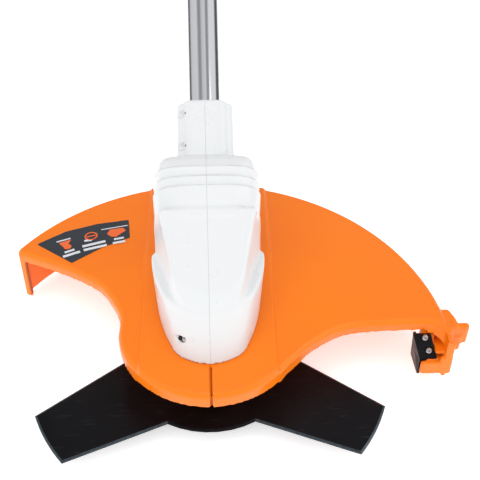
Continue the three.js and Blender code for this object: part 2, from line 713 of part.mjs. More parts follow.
function addLoopHandle() {
  const bore = alongShaft(disc(TUBE_R + GAP, -60, 60, 20));
  const boltHole = rodX(4.3, -60, 60, 0, LOOP_N);
  const bodyUp = box(-22, 22, -19, 19, 0.4, 17);
  const earFoot = box(-EAR_HALF, EAR_HALF, -12, 12, 15, LOOP_N);
  const ear = join(earFoot, rodX(12, -EAR_HALF, EAR_HALF, 0, LOOP_N, 20));
  const holes = [-17.5, 17.5].map((x) => disc(2.4, -40, 14, 8).translate(x, 0, 0));
  const upper = cut(join(bodyUp, ear), bore, boltHole, ...holes);
  const lower = cut(box(-22, 22, -19, 19, -18, -0.4), bore, ...holes);
  const bracket = new THREE.Group();
  bracket.position.y = LOOP_S;
  shaft.add(bracket);
  piece("bracket_upper", upper, black, bracket);
  piece("bracket_lower", lower, black, bracket);
  [-17.5, 17.5].forEach((x, i) => {
    const screw = join(disc(4, -21.5, -18.3, 12), disc(2.1, -19, 12, 8));
    piece(`bracket_screw_${i + 1}`, screw, steel, bracket).position.x = x;
  });
  const handle = new THREE.Group();
  handle.position.z = LOOP_N;
  bracket.add(handle);
  const legs = [1, -1].map((side) =>
    rodX(12.5, side > 0 ? EAR_HALF + GAP : -25, side > 0 ? 25 : -EAR_HALF - GAP, 0, 0, 20),
  );
  const arch = swept(archCurve(0, 1), 2 * LOOP_R, 2 * LOOP_R, 26, 5);
  const earRoom = box(-EAR_HALF - GAP, EAR_HALF + GAP, -20, 20, -20, 18);
  const sides = box(-29, 29, -40, 40, -20, 30);
  const flanks = cut(box(-60, 60, -30, 30, -13, 21), sides);
  const loop = cut(join(arch, ...legs), earRoom, flanks, rodX(4.3, -60, 60, 0, 0));
  piece("loop_handle", loop, black, handle);
  const gripCurve = archCurve(0.26, 0.74);
  const sleeve = cut(swept(gripCurve, 25, 25, 16, 5), swept(archCurve(0.22, 0.78), 22.4, 22.4, 20, 5));
  piece("loop_grip", sleeve, rubber, handle);
  const bolt = join(rodX(4, -31, 40, 0, 0), rodX(7.5, -34, -29.4, 0, 0, 6));
  piece("loop_bolt", bolt, steel, handle);
  addLoopKnob(handle);
}

function addLoopKnob(handle) {
  const shape = new THREE.Shape();
  const [lobes, steps] = [5, 30];
  for (let i = 0; i < steps; i++) {
    const a = (i / steps) * Math.PI * 2;
    const r = 16 + 3 * Math.cos(lobes * a);
    if (i) shape.lineTo(r * Math.cos(a), r * Math.sin(a));
    else shape.moveTo(r, 0);
  }
  shape.closePath();
  const body = join(extruded(shape, 31.5, 45), disc(9, 29.4, 32));
  const knob = cut(body, disc(4.2, 20, 41)).rotateY(Math.PI / 2);
  piece("loop_knob", knob, black, handle);
}

// ---- harness eye ----
function addHarnessEye() {
  const clamp = new THREE.Group();
  clamp.position.y = EYE_S;
  shaft.add(clamp);
  const band = alongShaft(ring(TUBE_R + GAP, TUBE_R + 3.4, -11, 11, 20));
  const lugs = box(-7.5, 7.5, -9, 9, -28, -15);
  const eye = join(box(-2.5, 2.5, -10, 10, 15, 30), rodX(10, -2.5, 2.5, 0, 30, 20));
  const gap = box(-1.2, 1.2, -20, 20, -40, 0);
  const whole = cut(join(band, lugs, eye), gap, rodX(6, -9, 9, 0, 30), rodX(2.8, -20, 20, 0, -22, 8));
  piece("harness_clamp", cut(whole, alongShaft(disc(TUBE_R + GAP, -20, 20, 20))), steel, clamp);
  const screw = join(rodX(4.2, 7.8, 10.8, 0, -22, 12), rodX(2.4, -13, 8, 0, -22, 8));
  piece("harness_screw", screw, darkSteel, clamp);
  const nut = cut(rodX(4.6, -11.8, -7.8, 0, -22, 6), rodX(2.6, -20, 20, 0, -22, 8));
  piece("harness_nut", nut, steel, clamp);
}

// ---- rear handle ----
const HANDLE_SCREWS = [
  [1262, 18.4, 11],
  [1262, -18.4, 11],
  [1392, -73, 3],
];
const TRIGGER = { s: 1336, n: -9, half: 5.5 };
const LOCK = { s: 1352, long: 8, half: 5, top: 22, low: 7.6 };

const CORNER_POINTS = 4;

// A rounded rectangle across the shaft at position s.
function oval(s, halfWidth, low, high, corner) {
  const middle = (low + high) / 2;
  const [w, h] = [halfWidth - corner, (high - low) / 2 - corner];
  const quarters = [[w, h], [-w, h], [-w, -h], [w, -h]];
  return quarters.flatMap(([x, z], quarter) =>
    Array.from({ length: CORNER_POINTS }, (_, i) => {
      const a = ((quarter + i / (CORNER_POINTS - 1)) * Math.PI) / 2;
      return new THREE.Vector3(x + corner * Math.cos(a), s, middle + z + corner * Math.sin(a));
    }),
  );
}

function rearOuter() {
  const main = loft([
    oval(GRIP.start, 20, -22, 22, 17), oval(GRIP.start + 6, 23, -25, 25, 20), oval(1300, 24, -27, 25, 20),
    oval(GRIP.front + 10, 18, -24, 22, 15), oval(1372, 16.5, -25, 15, 14), oval(1420, 17.5, -28, 14, 15),
    oval(GRIP.rear, 28, -38, 24, 14), oval(1462, 40.5, BATTERY.low - 4, BATTERY.high + 4, 12),
    oval(GRIP.end, 41, BATTERY.low - 4, BATTERY.high + 4, 12),
  ]);
  const bow = new THREE.CatmullRomCurve3([
    new THREE.Vector3(0, 1296, -14), new THREE.Vector3(0, 1304, -44), new THREE.Vector3(0, 1336, -68),
    new THREE.Vector3(0, 1392, -73), new THREE.Vector3(0, 1440, -62), new THREE.Vector3(0, 1472, -40),
  ]);
  return join(main, swept(bow, 19, 15, 14, 5));
}

function rearHollow() {
  const pocket = loft([
    oval(BATTERY.inside, BATTERY.half + GAP, BATTERY.low - GAP, BATTERY.high + GAP, 9),
    oval(GRIP.end + 1, BATTERY.half + GAP, BATTERY.low - GAP, BATTERY.high + GAP, 9),
  ]);
  const bay = loft([oval(1450, 30, -40, 26, 10), oval(BATTERY.inside - 3, 36, -44, 30, 10)]);
  const grip = loft([
    oval(TUBE_HIGH + 6, 12, -19, 15, 8), oval(1380, 11, -19, 9, 8), oval(1460, 12, -20, 8, 8),
  ]);
  const window = box(-16.5, 16.5, BATTERY.inside - 5, BATTERY.inside + 1, -17, 7);
  const slot = box(-6.2, 6.2, 1326, 1380, -60, -12);
  const [lockHalf, lockLong] = [LOCK.half + GAP, LOCK.long + GAP];
  const lock = box(-lockHalf, lockHalf, LOCK.s - lockLong, LOCK.s + lockLong, 4, 40);
  return join(pocket, bay, grip, window, slot, lock);
}

function addRearHandle() {
  const tube = alongShaft(disc(TUBE_R + GAP, GRIP.start - 5, TUBE_HIGH + GAP, 20));
  const cable = alongShaft(disc(6, TUBE_HIGH - 2, TUBE_HIGH + 12, 12));
  const screws = HANDLE_SCREWS.map(([s, n, deep]) =>
    join(rodX(2.2, -30, 12, s, n, 8), rodX(3.7, -30, -deep, s, n, 12)),
  );
  const pins = rodX(2.3, -9, 9, TRIGGER.s, TRIGGER.n - 8);
  const bosses = [box(-12.5, -6.4, 1330, 1342, -22, -11), box(6.4, 12.5, 1330, 1342, -22, -11)];
  const whole = cut(join(cut(rearOuter(), rearHollow(), tube, cable, ...screws), ...bosses), pins);
  piece("rear_handle_left", common(whole, box(-80, -GAP / 2, 1200, 1600, -120, 120)), white, shaft);
  piece("rear_handle_right", common(whole, box(GAP / 2, 80, 1200, 1600, -120, 120)), white, shaft);
  HANDLE_SCREWS.forEach(([s, n, deep], i) => {
    const screw = join(rodX(3.3, -deep - 2.6, -deep - 0.2, 0, 0, 12), rodX(1.9, -deep - 1, 9, 0, 0, 8));
    piece(`handle_screw_${i + 1}`, screw, darkSteel, shaft).position.set(0, s, n);
  });
  addTrigger();
  addElectrics();
  addBattery();
}

function addTrigger() {
  const [s, n] = [TRIGGER.s, TRIGGER.n - 8];
  const outline = [
    [s - 5, n + 2], [s - 2, n + 5], [s + 3, n + 5], [s + 36, n + 1], [s + 40, n - 6], [s + 33, n - 13],
    [s + 22, n - 16], [s + 10, n - 17], [s + 2, n - 21], [s - 3, n - 20], [s - 5, n - 6],
  ];
  const lever = cut(slab(outline, -TRIGGER.half, TRIGGER.half), rodX(2.25, -20, 20, s, n));
  piece("trigger", lever, black, shaft);
  piece("trigger_pin", rodX(2, -8.6, 8.6, s, n), steel, shaft);
  const flange = LOCK.half + 1.5;
  const button = join(
    box(-LOCK.half, LOCK.half, LOCK.s - LOCK.long, LOCK.s + LOCK.long, LOCK.low, LOCK.top),
    box(-flange, flange, LOCK.s - LOCK.long - 2, LOCK.s + LOCK.long + 2, LOCK.low - 1, LOCK.low + 1),
  );
  piece("lockoff_button", button, orange, shaft);
}

function addElectrics() {
  piece("trigger_switch", box(-5, 5, 1344, 1366, -9.5, 2.6), black, shaft);
  piece("control_board", box(-27, 27, 1455, 1457, -38, 24), boardGreen, shaft);
  const block = join(box(-15, 15, 1468, BATTERY.inside + 12, -14, 4), box(-14, 14, 1457.3, 1470, -10, 0));
  piece("battery_terminals", block, black, shaft);
}

function addBattery() {
  const [low, high] = [BATTERY.low, BATTERY.high];
  const inner = loft([
    oval(BATTERY.inside + GAP, BATTERY.half, low, high, 9),
    oval(GRIP.end + 4, BATTERY.half, low, high, 9),
  ]);
  const outer = loft([
    oval(GRIP.end + 0.6, 40.6, low - 3.6, high + 3.6, 12),
    oval(BATTERY.end - 8, 40.6, low - 3.6, high + 3.6, 12),
    oval(BATTERY.end, 36, low, high, 9),
  ]);
  const socket = box(-16, 16, BATTERY.inside - 2, BATTERY.inside + 14, -15, 5);
  const latchBay = box(-12.4, 12.4, 1540, 1562, high - 8, high + 12);
  piece("battery_pack", cut(join(inner, outer), socket, latchBay), black, shaft);
  const ridge = (s) => box(-9, 9, s - 1.2, s + 1.2, high + 3, high + 5);
  const plateBody = box(-12, 12, 1540.4, 1561.6, high - 3.5, high + 3.8);
  const latch = join(plateBody, ridge(1546), ridge(1551), ridge(1556));
  piece("battery_latch", latch, orange, shaft);
}

addCasing();
addMotor();
addSpindleAndBlade();
addGuard();
addKnife();
addShaft();
addLoopHandle();
addHarnessEye();
addRearHandle();

export default cutter;
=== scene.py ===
"""Looks of the battery brush cutter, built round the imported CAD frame. Lengths inside the shape
functions are millimetres; everything handed to Blender is metres."""
import json
import math

import bmesh
import bpy
import numpy as np
from mathutils import Matrix, Vector


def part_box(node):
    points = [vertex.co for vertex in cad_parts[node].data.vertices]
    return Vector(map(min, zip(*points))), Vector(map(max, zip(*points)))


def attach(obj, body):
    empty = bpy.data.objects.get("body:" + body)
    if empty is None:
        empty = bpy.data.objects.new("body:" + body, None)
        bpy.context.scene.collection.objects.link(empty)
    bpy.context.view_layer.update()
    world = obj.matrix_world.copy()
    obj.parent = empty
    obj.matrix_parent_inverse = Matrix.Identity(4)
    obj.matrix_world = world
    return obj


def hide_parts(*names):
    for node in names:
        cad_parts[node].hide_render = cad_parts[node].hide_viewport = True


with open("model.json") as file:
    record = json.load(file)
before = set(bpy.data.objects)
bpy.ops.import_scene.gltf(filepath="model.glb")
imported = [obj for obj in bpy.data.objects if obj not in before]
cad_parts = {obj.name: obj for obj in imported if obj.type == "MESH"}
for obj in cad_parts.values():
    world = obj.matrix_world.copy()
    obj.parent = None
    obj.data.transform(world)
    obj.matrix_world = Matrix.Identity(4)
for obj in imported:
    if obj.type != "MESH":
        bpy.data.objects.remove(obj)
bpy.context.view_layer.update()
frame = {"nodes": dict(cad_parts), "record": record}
MM = 0.001

# ---- driving sizes, in millimetres, as in the CAD ----
TILT = math.radians(28)
SHAFT_Z = 80
TUBE_R = 13
UP = np.array([0, math.cos(TILT), math.sin(TILT)])  # up the shaft
OUT = np.array([0, -math.sin(TILT), math.cos(TILT)])  # square to the shaft, upwards
GUARD_RIM = {"x": -3.2, "y": -9.0, "r": 172.4, "z": 49}
GUARD_SLOPE, GUARD_FLAT_R, GUARD_WALL = 0.105, 80, 3
APRON_R, APRON_LIP, WING_LIP = 62.8, 12, 9.5
APRON_FROM, APRON_TO = 186.1, 318.1
SKIRT_START, SKIRT_END, END_LOW = -0.9, 146.6, 13.2
LEFT_EDGE = [(-143.7, 85.6), (-109.6, 65.8), (-80.3, 43.5), (-65.9, 20.7), (-61.3, 6.0)]
RIGHT_EDGE = [(52.4, -34.8), (71.0, -18.1), (96.9, -3.7), (133.7, 2.2), (157.2, 3.7), (168.5, -2.6)]
LABEL = [(-129.0, 92.3), (-109.6, 104.7), (-85.3, 111.9), (-61.7, 114.8),
         (-59.5, 93.0), (-79.3, 83.2), (-100.8, 67.9)]
LABEL_TURN = math.radians(10.1)
SKIRT_SPAN, SKIRT_LOW = [-172, 172], [2.5, 9.5]  # across the guard, and the skirt's lower edge there
GUARD_SCREWS = [(28, 12), (-28, 12), (22, 44), (-22, 44)]
KNIFE_NORMAL = np.array([-0.0285, -0.8593, 0.5106])
KNIFE_CORNER = np.array([149.8, -8.4, 23.8])
BLADE_TOP, BLADE_THICK, BLADE_R, BLADE_HUB_R = 20, 1.8, 127.5, 61
BLADE_TIP_HALF, BLADE_ROOT_HALF, BLADE_BORE_R = 22, 31.4, 12.7
SIDE_STEPS, TIP_STEPS = 8, 7  # points along a tooth's side and round its tip
HOUSING_FLOOR, HOUSING_WALL, SEAM_HALF = 61, 2.8, 0.05
CUP_RISE, CUP_TOP, CUP_MIDDLE_Y = 35, 96, 30
HOOD_TOP, HOOD_END = 29, 58
RIB_START, RIB_END, RIB_PITCH, RIB_DEPTH, RIB_CREST = 74.3, 88.7, 7.2, 1.6, 0.82
NECK_SCREWS = [(133, 16.3), (108, 16.3), (133, -15.7), (108, -15.7)]
NOSE_SCREW = {"y": -25.4, "z": 73.5}
TUBE_START, TUBE_END = 62, 1292
TUBE_FIT = 0.3  # clearance round the tube
LOOP_S, LOOP_N, LOOP_R = 905, 31, 10
BATTERY = {"half": 37, "low": -48, "high": 34, "inside": 1476, "end": 1622}
GRIP = {"start": 1240, "end": 1528}
HANDLE_STATIONS = [  # along, half width, low, high, squareness
    (1240, 20, -22, 22, 2.2), (1246, 22.6, -24.6, 24.6, 2.2), (1300, 23.6, -26.6, 24.8, 2.3),
    (1328, 18, -24, 22, 2.4), (1372, 16.5, -25, 15, 2.5), (1420, 17.5, -28, 14, 2.6), (1440, 27, -37, 23, 4),
    (1462, 40.2, -51.6, 37.6, 7), (1528, 40.8, -51.8, 37.8, 7.5),
]
LIGHTS = [  # name, place, aimed at, size, watts, seen in reflections
    ("key", (-0.3, -0.6, 1.7), (0, 0.05, 0.05), (1.8, 1.8), 17.4, False),
    ("fill", (1.1, -0.2, 1.0), (0, 0.1, 0.05), (0.8, 1.4), 3, True),
    ("left_side", (-0.9, -0.25, 0.28), (0, 0, 0.09), (0.7, 0.4), 1.0, False),
    ("right_side", (0.9, -0.25, 0.28), (0, 0, 0.09), (0.7, 0.4), 1.0, False),
]
ROOM_GREYS = [  # degrees round the tube from straight up, and how bright the room is there
    (-180, 0.6), (-100, 0.6), (-93, 0.06), (-80, 0.06), (-72, 0.6), (-36, 0.68), (-28, 0.3), (-15, 0.3),
    (-8, 0.62), (9, 0.64), (15, 0.3), (25, 0.3), (31, 0.72), (64, 0.74), (71, 0.1), (88, 0.1), (97, 0.6),
    (180, 0.6),
]
EYE = (-0.0023, -0.4139, 0.5239)
EYE_DOWN, EYE_YAW, EYE_ROLL = math.radians(43), math.radians(3.1), math.radians(-0.9)
LENS, SENSOR = 67.5, 36


# ======================= signed-distance modelling =======================
def fillet_min(a, b, r):
    """Union of two shapes with a round fillet between them."""
    u, v = np.maximum(r - a, 0), np.maximum(r - b, 0)
    return np.maximum(r, np.minimum(a, b)) - np.hypot(u, v)


def round_max(a, b, r):
    """Common part of two shapes, with a rounded edge."""
    u, v = np.maximum(r + a, 0), np.maximum(r + b, 0)
    return np.minimum(-r, np.maximum(a, b)) + np.hypot(u, v)


def smooth_step(t):
    t = np.clip(t, 0, 1)
    return t * t * (3 - 2 * t)


def block(p, low, high, r=0.8):
    """Distance to a box with rounded edges."""
    low, high = np.array(low, float), np.array(high, float)
    q = np.abs(p - (low + high) / 2) - (high - low) / 2 + r
    return np.linalg.norm(np.maximum(q, 0), axis=1) + np.minimum(q.max(axis=1), 0) - r


def rod(p, start, axis, length, radius):
    """Distance to a plain cylinder that starts at a point and runs along a unit axis."""
    d = p - np.array(start, float)
    t = d @ np.array(axis, float)
    out = np.linalg.norm(d - t[:, None] * np.array(axis, float), axis=1) - radius
    return np.maximum(out, np.abs(t - length / 2) - length / 2)


def superellipse(x, y, a, b, power):
    """Distance, close to the outline, to a squared-off ellipse. a and b may vary from point to point."""
    u, v = np.abs(x) / a + 1e-6, np.abs(y) / b + 1e-6
    g = (u**power + v**power) ** (1 / power)
    slope = np.hypot((u / g) ** (power - 1) / a, (v / g) ** (power - 1) / b)
    return (g - 1) / slope


def curve_points(corners, per_span=8):
    """A Catmull-Rom curve through the corners."""
    c = [np.array(p, float) for p in corners]
    c = [2 * c[0] - c[1], *c, 2 * c[-1] - c[-2]]
    made = []
    for a, b, d, e in zip(c, c[1:], c[2:], c[3:]):
        square, cube = 2 * a - 5 * b + 4 * d - e, 3 * b - a - 3 * d + e
        for t in np.arange(per_span) / per_span:
            made.append(0.5 * (2 * b + (d - a) * t + square * t**2 + cube * t**3))
    made.append(c[-2])
    return np.array(made)


def near_path(p, path):
    """Distance from each point to a polyline."""
    best = np.full(len(p), 1e9)
    for a, b in zip(path, path[1:]):
        along = b - a
        t = np.clip((p - a) @ along / (along @ along), 0, 1)
        best = np.minimum(best, ((p - a - t[:, None] * along) ** 2).sum(axis=1))
    return np.sqrt(best)


class Plan:
    """Signed distance to a closed outline in plan, kept on a fine grid."""

    STEP = 0.5

    def __init__(self, outline, margin=12):
        self.low = outline.min(axis=0) - margin
        size = np.ceil((outline.max(axis=0) + margin - self.low) / self.STEP).astype(int) + 1
        x, y = np.meshgrid(*[self.low[i] + self.STEP * np.arange(size[i]) for i in (0, 1)], indexing="ij")
        p = np.stack([x.ravel(), y.ravel()], axis=1)
        closed = np.vstack([outline, outline[:1]])
        away = near_path(p, closed)
        inside = np.zeros(len(p), bool)
        for a, b in zip(closed, closed[1:]):
            spans = (a[1] > p[:, 1]) != (b[1] > p[:, 1])
            rise = b[1] - a[1] if b[1] != a[1] else 1e-9
            inside ^= spans & (p[:, 0] < a[0] + (b[0] - a[0]) * (p[:, 1] - a[1]) / rise)
        self.field = np.where(inside, -away, away).reshape(size)

    def at(self, p):
        q = (p[:, :2] - self.low) / self.STEP
        q = np.clip(q, 0, np.array(self.field.shape) - 1.001)
        i = q.astype(int)
        f = q - i
        g = self.field
        near = g[i[:, 0], i[:, 1]] * (1 - f[:, 0]) + g[i[:, 0] + 1, i[:, 1]] * f[:, 0]
        far = g[i[:, 0], i[:, 1] + 1] * (1 - f[:, 0]) + g[i[:, 0] + 1, i[:, 1] + 1] * f[:, 0]
        return near * (1 - f[:, 1]) + far * f[:, 1]


def in_slabs(field, points, most=400000):
    return np.concatenate([field(points[i:i + most]) for i in range(0, len(points), most)])


def gradient(field, points, reach):
    made = np.empty_like(points)
    for axis in range(3):
        shift = np.zeros(3)
        shift[axis] = reach
        made[:, axis] = (in_slabs(field, points + shift) - in_slabs(field, points - shift)) / (2 * reach)
    return made


def surface(field, low, high, step):
    """Quads over the zero level of a field, one vertex in each mixed cell, drawn onto the true surface."""
    low, high = np.array(low, float), np.array(high, float)
    size = np.ceil((high - low) / step).astype(int) + 1
    axes = [low[i] + step * np.arange(size[i]) for i in range(3)]
    grid = np.stack(np.meshgrid(*axes, indexing="ij"), axis=-1).reshape(-1, 3)
    value = in_slabs(field, grid).reshape(size)
    inside = value < 0
    count = sum(
        inside[i:size[0] - 1 + i, j:size[1] - 1 + j, k:size[2] - 1 + k].astype(int)
        for i in (0, 1) for j in (0, 1) for k in (0, 1)
    )
    cells = np.argwhere((count > 0) & (count < 8))
    index = np.full(tuple(size - 1), -1)
    index[tuple(cells.T)] = np.arange(len(cells))
    total, hits = np.zeros((len(cells), 3)), np.zeros(len(cells))
    for axis in range(3):
        step_on = np.eye(3, dtype=int)[axis]
        others = [a for a in range(3) if a != axis]
        for b in (0, 1):
            for c in (0, 1):
                start = np.zeros(3, int)
                start[others[0]], start[others[1]] = b, c
                a0 = value[tuple((cells + start).T)]
                a1 = value[tuple((cells + start + step_on).T)]
                crossed = (a0 < 0) != (a1 < 0)
                t = np.where(crossed, a0 / np.where(crossed, a0 - a1, 1), 0)
                total[crossed] += (start + t[:, None] * step_on)[crossed]
                hits += crossed
    points = low + step * (cells + total / hits[:, None])
    quads = []
    for axis in range(3):
        others = [a for a in range(3) if a != axis]
        if axis == 1:
            others.reverse()
        here = [slice(1, -1)] * 3
        here[axis] = slice(0, -1)
        there = list(here)
        there[axis] = slice(1, None)
        a, b = inside[tuple(here)], inside[tuple(there)]
        offset = np.array([1, 1, 1])
        offset[axis] = 0
        edges = np.argwhere(a != b) + offset
        outward = inside[tuple(edges.T)]
        u, v = np.eye(3, dtype=int)[others[0]], np.eye(3, dtype=int)[others[1]]
        ring = np.stack([index[tuple((edges - s).T)] for s in (0 * u, u, u + v, v)], axis=1)
        quads.append(np.where(outward[:, None], ring, ring[:, ::-1]))
    for _ in range(3):
        slope = gradient(field, points, 0.05)
        steepness = np.maximum((slope**2).sum(axis=1), 0.05)
        move = slope * (in_slabs(field, points) / steepness)[:, None]
        longest = np.maximum(np.linalg.norm(move, axis=1), 1e-9)
        points = points - move * np.minimum(1, 0.6 * step / longest)[:, None]
    return points, np.concatenate(quads)


# ======================= materials =======================
class Look:
    """A Principled material with procedural variation in the object's own space."""

    def __init__(self, name, colour, roughness, metallic=0.0, coat=0.0):
        self.material = bpy.data.materials.new(name)
        self.material.use_nodes = True
        self.nodes = self.material.node_tree.nodes
        self.links = self.material.node_tree.links
        self.shader = self.nodes["Principled BSDF"]
        self.shader.inputs["Metallic"].default_value = metallic
        self.shader.inputs["Coat Weight"].default_value = coat
        self.shader.inputs["Coat Roughness"].default_value = 0.12
        self.colour = (*colour, 1)
        self.shader.inputs["Base Color"].default_value = self.colour
        self.shader.inputs["Roughness"].default_value = roughness
        self.roughness = roughness
        self.place = self.nodes.new("ShaderNodeTexCoord").outputs["Object"]
        self.height = None

    def noise(self, scale, detail=2.0, stretch=None, turn=0.0):
        """Noise in the object's space, first turned about X and then stretched."""
        place = self.place
        for key, value in (("Rotation", (turn, 0, 0)), ("Scale", stretch or (1, 1, 1))):
            mapping = self.nodes.new("ShaderNodeMapping")
            mapping.inputs[key].default_value = value
            self.links.new(place, mapping.inputs["Vector"])
            place = mapping.outputs["Vector"]
        made = self.nodes.new("ShaderNodeTexNoise")
        made.inputs["Scale"].default_value = scale
        made.inputs["Detail"].default_value = detail
        self.links.new(place, made.inputs["Vector"])
        return made.outputs["Fac"]

    def spread(self, source, low, high, start=0.3, end=0.7):
        made = self.nodes.new("ShaderNodeMapRange")
        made.inputs["From Min"].default_value = start
        made.inputs["From Max"].default_value = end
        made.inputs["To Min"].default_value = low
        made.inputs["To Max"].default_value = high
        self.links.new(source, made.inputs["Value"])
        return made.outputs["Result"]

    def vary_roughness(self, source, low, high):
        self.links.new(self.spread(source, low, high), self.shader.inputs["Roughness"])
        return self

    def vary_colour(self, source, other, amount=1.0, start=0.35, end=0.65):
        mix = self.nodes.new("ShaderNodeMix")
        mix.data_type = "RGBA"
        before = self.shader.inputs["Base Color"]
        if before.links:
            self.links.new(before.links[0].from_socket, mix.inputs["A"])
        else:
            mix.inputs["A"].default_value = self.colour
        mix.inputs["B"].default_value = (*other, 1)
        self.links.new(self.spread(source, 0, amount, start, end), mix.inputs["Factor"])
        self.links.new(mix.outputs["Result"], before)
        return self

    def bump(self, source, depth_mm, strength=0.5):
        made = self.nodes.new("ShaderNodeBump")
        made.inputs["Strength"].default_value = strength
        made.inputs["Distance"].default_value = depth_mm * MM
        self.links.new(source, made.inputs["Height"])
        if self.height:
            self.links.new(self.height, made.inputs["Normal"])
        self.height = made.outputs["Normal"]
        self.links.new(self.height, self.shader.inputs["Normal"])
        return self

    def worn_edges(self, colour, amount, start=0.53, end=0.6):
        """Rubbed edges, at the mesh's own sharp places."""
        edges = self.nodes.new("ShaderNodeNewGeometry").outputs["Pointiness"]
        return self.vary_colour(edges, colour, amount, start, end)


def moulded(name, colour, shade, roughness, coat=0.0, grain=0.06):
    """Injection-moulded plastic: fine spark grain, soft flow marks and faint handling marks."""
    look = Look(name, colour, roughness, coat=coat)
    look.vary_colour(look.noise(14, 3), shade, 0.35)
    look.vary_roughness(look.noise(60, 4), roughness - 0.05, roughness + 0.09)
    look.bump(look.noise(1500, 2), grain, 0.35)
    look.bump(look.noise(45, 3), 0.25, 0.06)
    return look


white = moulded("white_plastic", (0.735, 0.75, 0.755), (0.725, 0.74, 0.748), 0.30, coat=0.1, grain=0.03)
orange = moulded("orange_plastic", (0.96, 0.205, 0.003), (0.94, 0.18, 0.002), 0.34, coat=0.05, grain=0.04)
orange.shader.inputs["Specular IOR Level"].default_value = 0.35
black = moulded("black_plastic", (0.022, 0.023, 0.025), (0.035, 0.035, 0.037), 0.5, grain=0.08)
black.worn_edges((0.09, 0.09, 0.09), 0.4)
rubber = moulded("rubber", (0.018, 0.018, 0.019), (0.03, 0.03, 0.03), 0.78, grain=0.12)
film = moulded("label_film", (0.018, 0.024, 0.032), (0.035, 0.045, 0.058), 0.3, coat=0.25, grain=0.01)
print_white = moulded("print_white", (0.75, 0.77, 0.8), (0.66, 0.68, 0.7), 0.4, grain=0.01)
print_orange = moulded("print_orange", (0.9, 0.16, 0.03), (0.8, 0.1, 0.02), 0.4, grain=0.01)
board = moulded("circuit_board", (0.015, 0.13, 0.05), (0.01, 0.09, 0.035), 0.35)


def coated_steel():
    """Black electro-coat over steel sheet, slightly uneven, with fine handling scratches."""
    look = Look("blade_coat", (0.003, 0.0028, 0.0035), 0.36)
    look.shader.inputs["Specular IOR Level"].default_value = 0.16
    look.vary_colour(look.noise(22, 4), (0.007, 0.007, 0.009), 0.6)
    scratches = look.noise(900, 1, stretch=(0.06, 1, 1), turn=0.6)
    look.vary_colour(scratches, (0.05, 0.05, 0.055), 0.25, 0.66, 0.72)
    look.vary_roughness(look.noise(90, 3), 0.28, 0.45)
    look.bump(look.noise(700, 3), 0.03, 0.4)
    return look


def ground_steel():
    """Bare edge with grinding lines and a little colour from the wheel."""
    look = Look("ground_edge", (0.10, 0.125, 0.14), 0.34, metallic=0.9)
    look.vary_colour(look.noise(260, 2), (0.06, 0.075, 0.085), 0.7)
    look.vary_roughness(look.noise(800, 2), 0.25, 0.5)
    look.bump(look.noise(2200, 1), 0.02, 0.5)
    return look


def plated(name, colour, roughness):
    look = Look(name, colour, roughness, metallic=1.0)
    look.vary_colour(look.noise(180, 3), tuple(c * 0.82 for c in colour), 0.5)
    look.vary_roughness(look.noise(400, 3), roughness - 0.06, roughness + 0.12)
    look.bump(look.noise(1200, 2), 0.02, 0.3)
    return look


def drawn_aluminium():
    """Bright tube with the lengthwise lines that drawing leaves."""
    look = Look("aluminium", (0.86, 0.87, 0.885), 0.1, metallic=1.0)
    lines = look.noise(420, 2, stretch=(1, 0.004, 1), turn=-TILT)
    look.vary_colour(lines, (0.7, 0.71, 0.73), 0.4, 0.45, 0.65)
    look.vary_roughness(look.noise(700, 2, stretch=(1, 0.01, 1), turn=-TILT), 0.1, 0.2)
    look.bump(look.noise(1500, 1, stretch=(1, 0.004, 1), turn=-TILT), 0.015, 0.4)
    return look


coat = coated_steel()
ground = ground_steel()
steel = plated("bright_steel", (0.62, 0.63, 0.645), 0.26)
dark_steel = plated("dark_steel", (0.10, 0.10, 0.105), 0.34)
tube_metal = drawn_aluminium()
copper = plated("copper", (0.62, 0.26, 0.11), 0.35)

LOOKS = {
    "white_plastic": white, "orange_plastic": orange, "black_plastic": black, "rubber": rubber,
    "blade_steel": coat, "bright_steel": steel, "dark_steel": dark_steel, "aluminium": tube_metal,
    "copper": copper, "label_film": film, "circuit_board": board,
}


# ======================= making pieces =======================
def mesh_object(name, points_mm, faces, looks, smooth=True):
    mesh = bpy.data.meshes.new(name)
    mesh.from_pydata((np.asarray(points_mm) * MM).tolist(), [], [list(map(int, f)) for f in faces])
    mesh.validate()
    obj = bpy.data.objects.new(name, mesh)
    bpy.context.scene.collection.objects.link(obj)
    for look in looks:
        mesh.materials.append(look.material)
    mesh.polygons.foreach_set("use_smooth", [smooth] * len(mesh.polygons))
    return obj


def cad_reach(node, margin):
    """Corners of a CAD node's box in millimetres, with a margin all round."""
    low, high = [np.array(c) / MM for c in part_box(node)]
    return low - margin, high + margin


def stand_for(obj, body, slot, *nodes):
    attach(obj, body)
    if nodes:
        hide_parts(*nodes)
    return obj


def skin(name, field, low, high, step, look, body, slot, *nodes):
    """A piece whose surface is the zero level of a distance field."""
    points, quads = surface(field, low, high, step)
    obj = mesh_object(name, points, quads, [look])
    normals = gradient(field, points, 0.35 * step)
    normals /= np.maximum(np.linalg.norm(normals, axis=1), 1e-6)[:, None]
    obj.data.normals_split_custom_set_from_vertices(normals.tolist())
    return stand_for(obj, body, slot, *nodes)


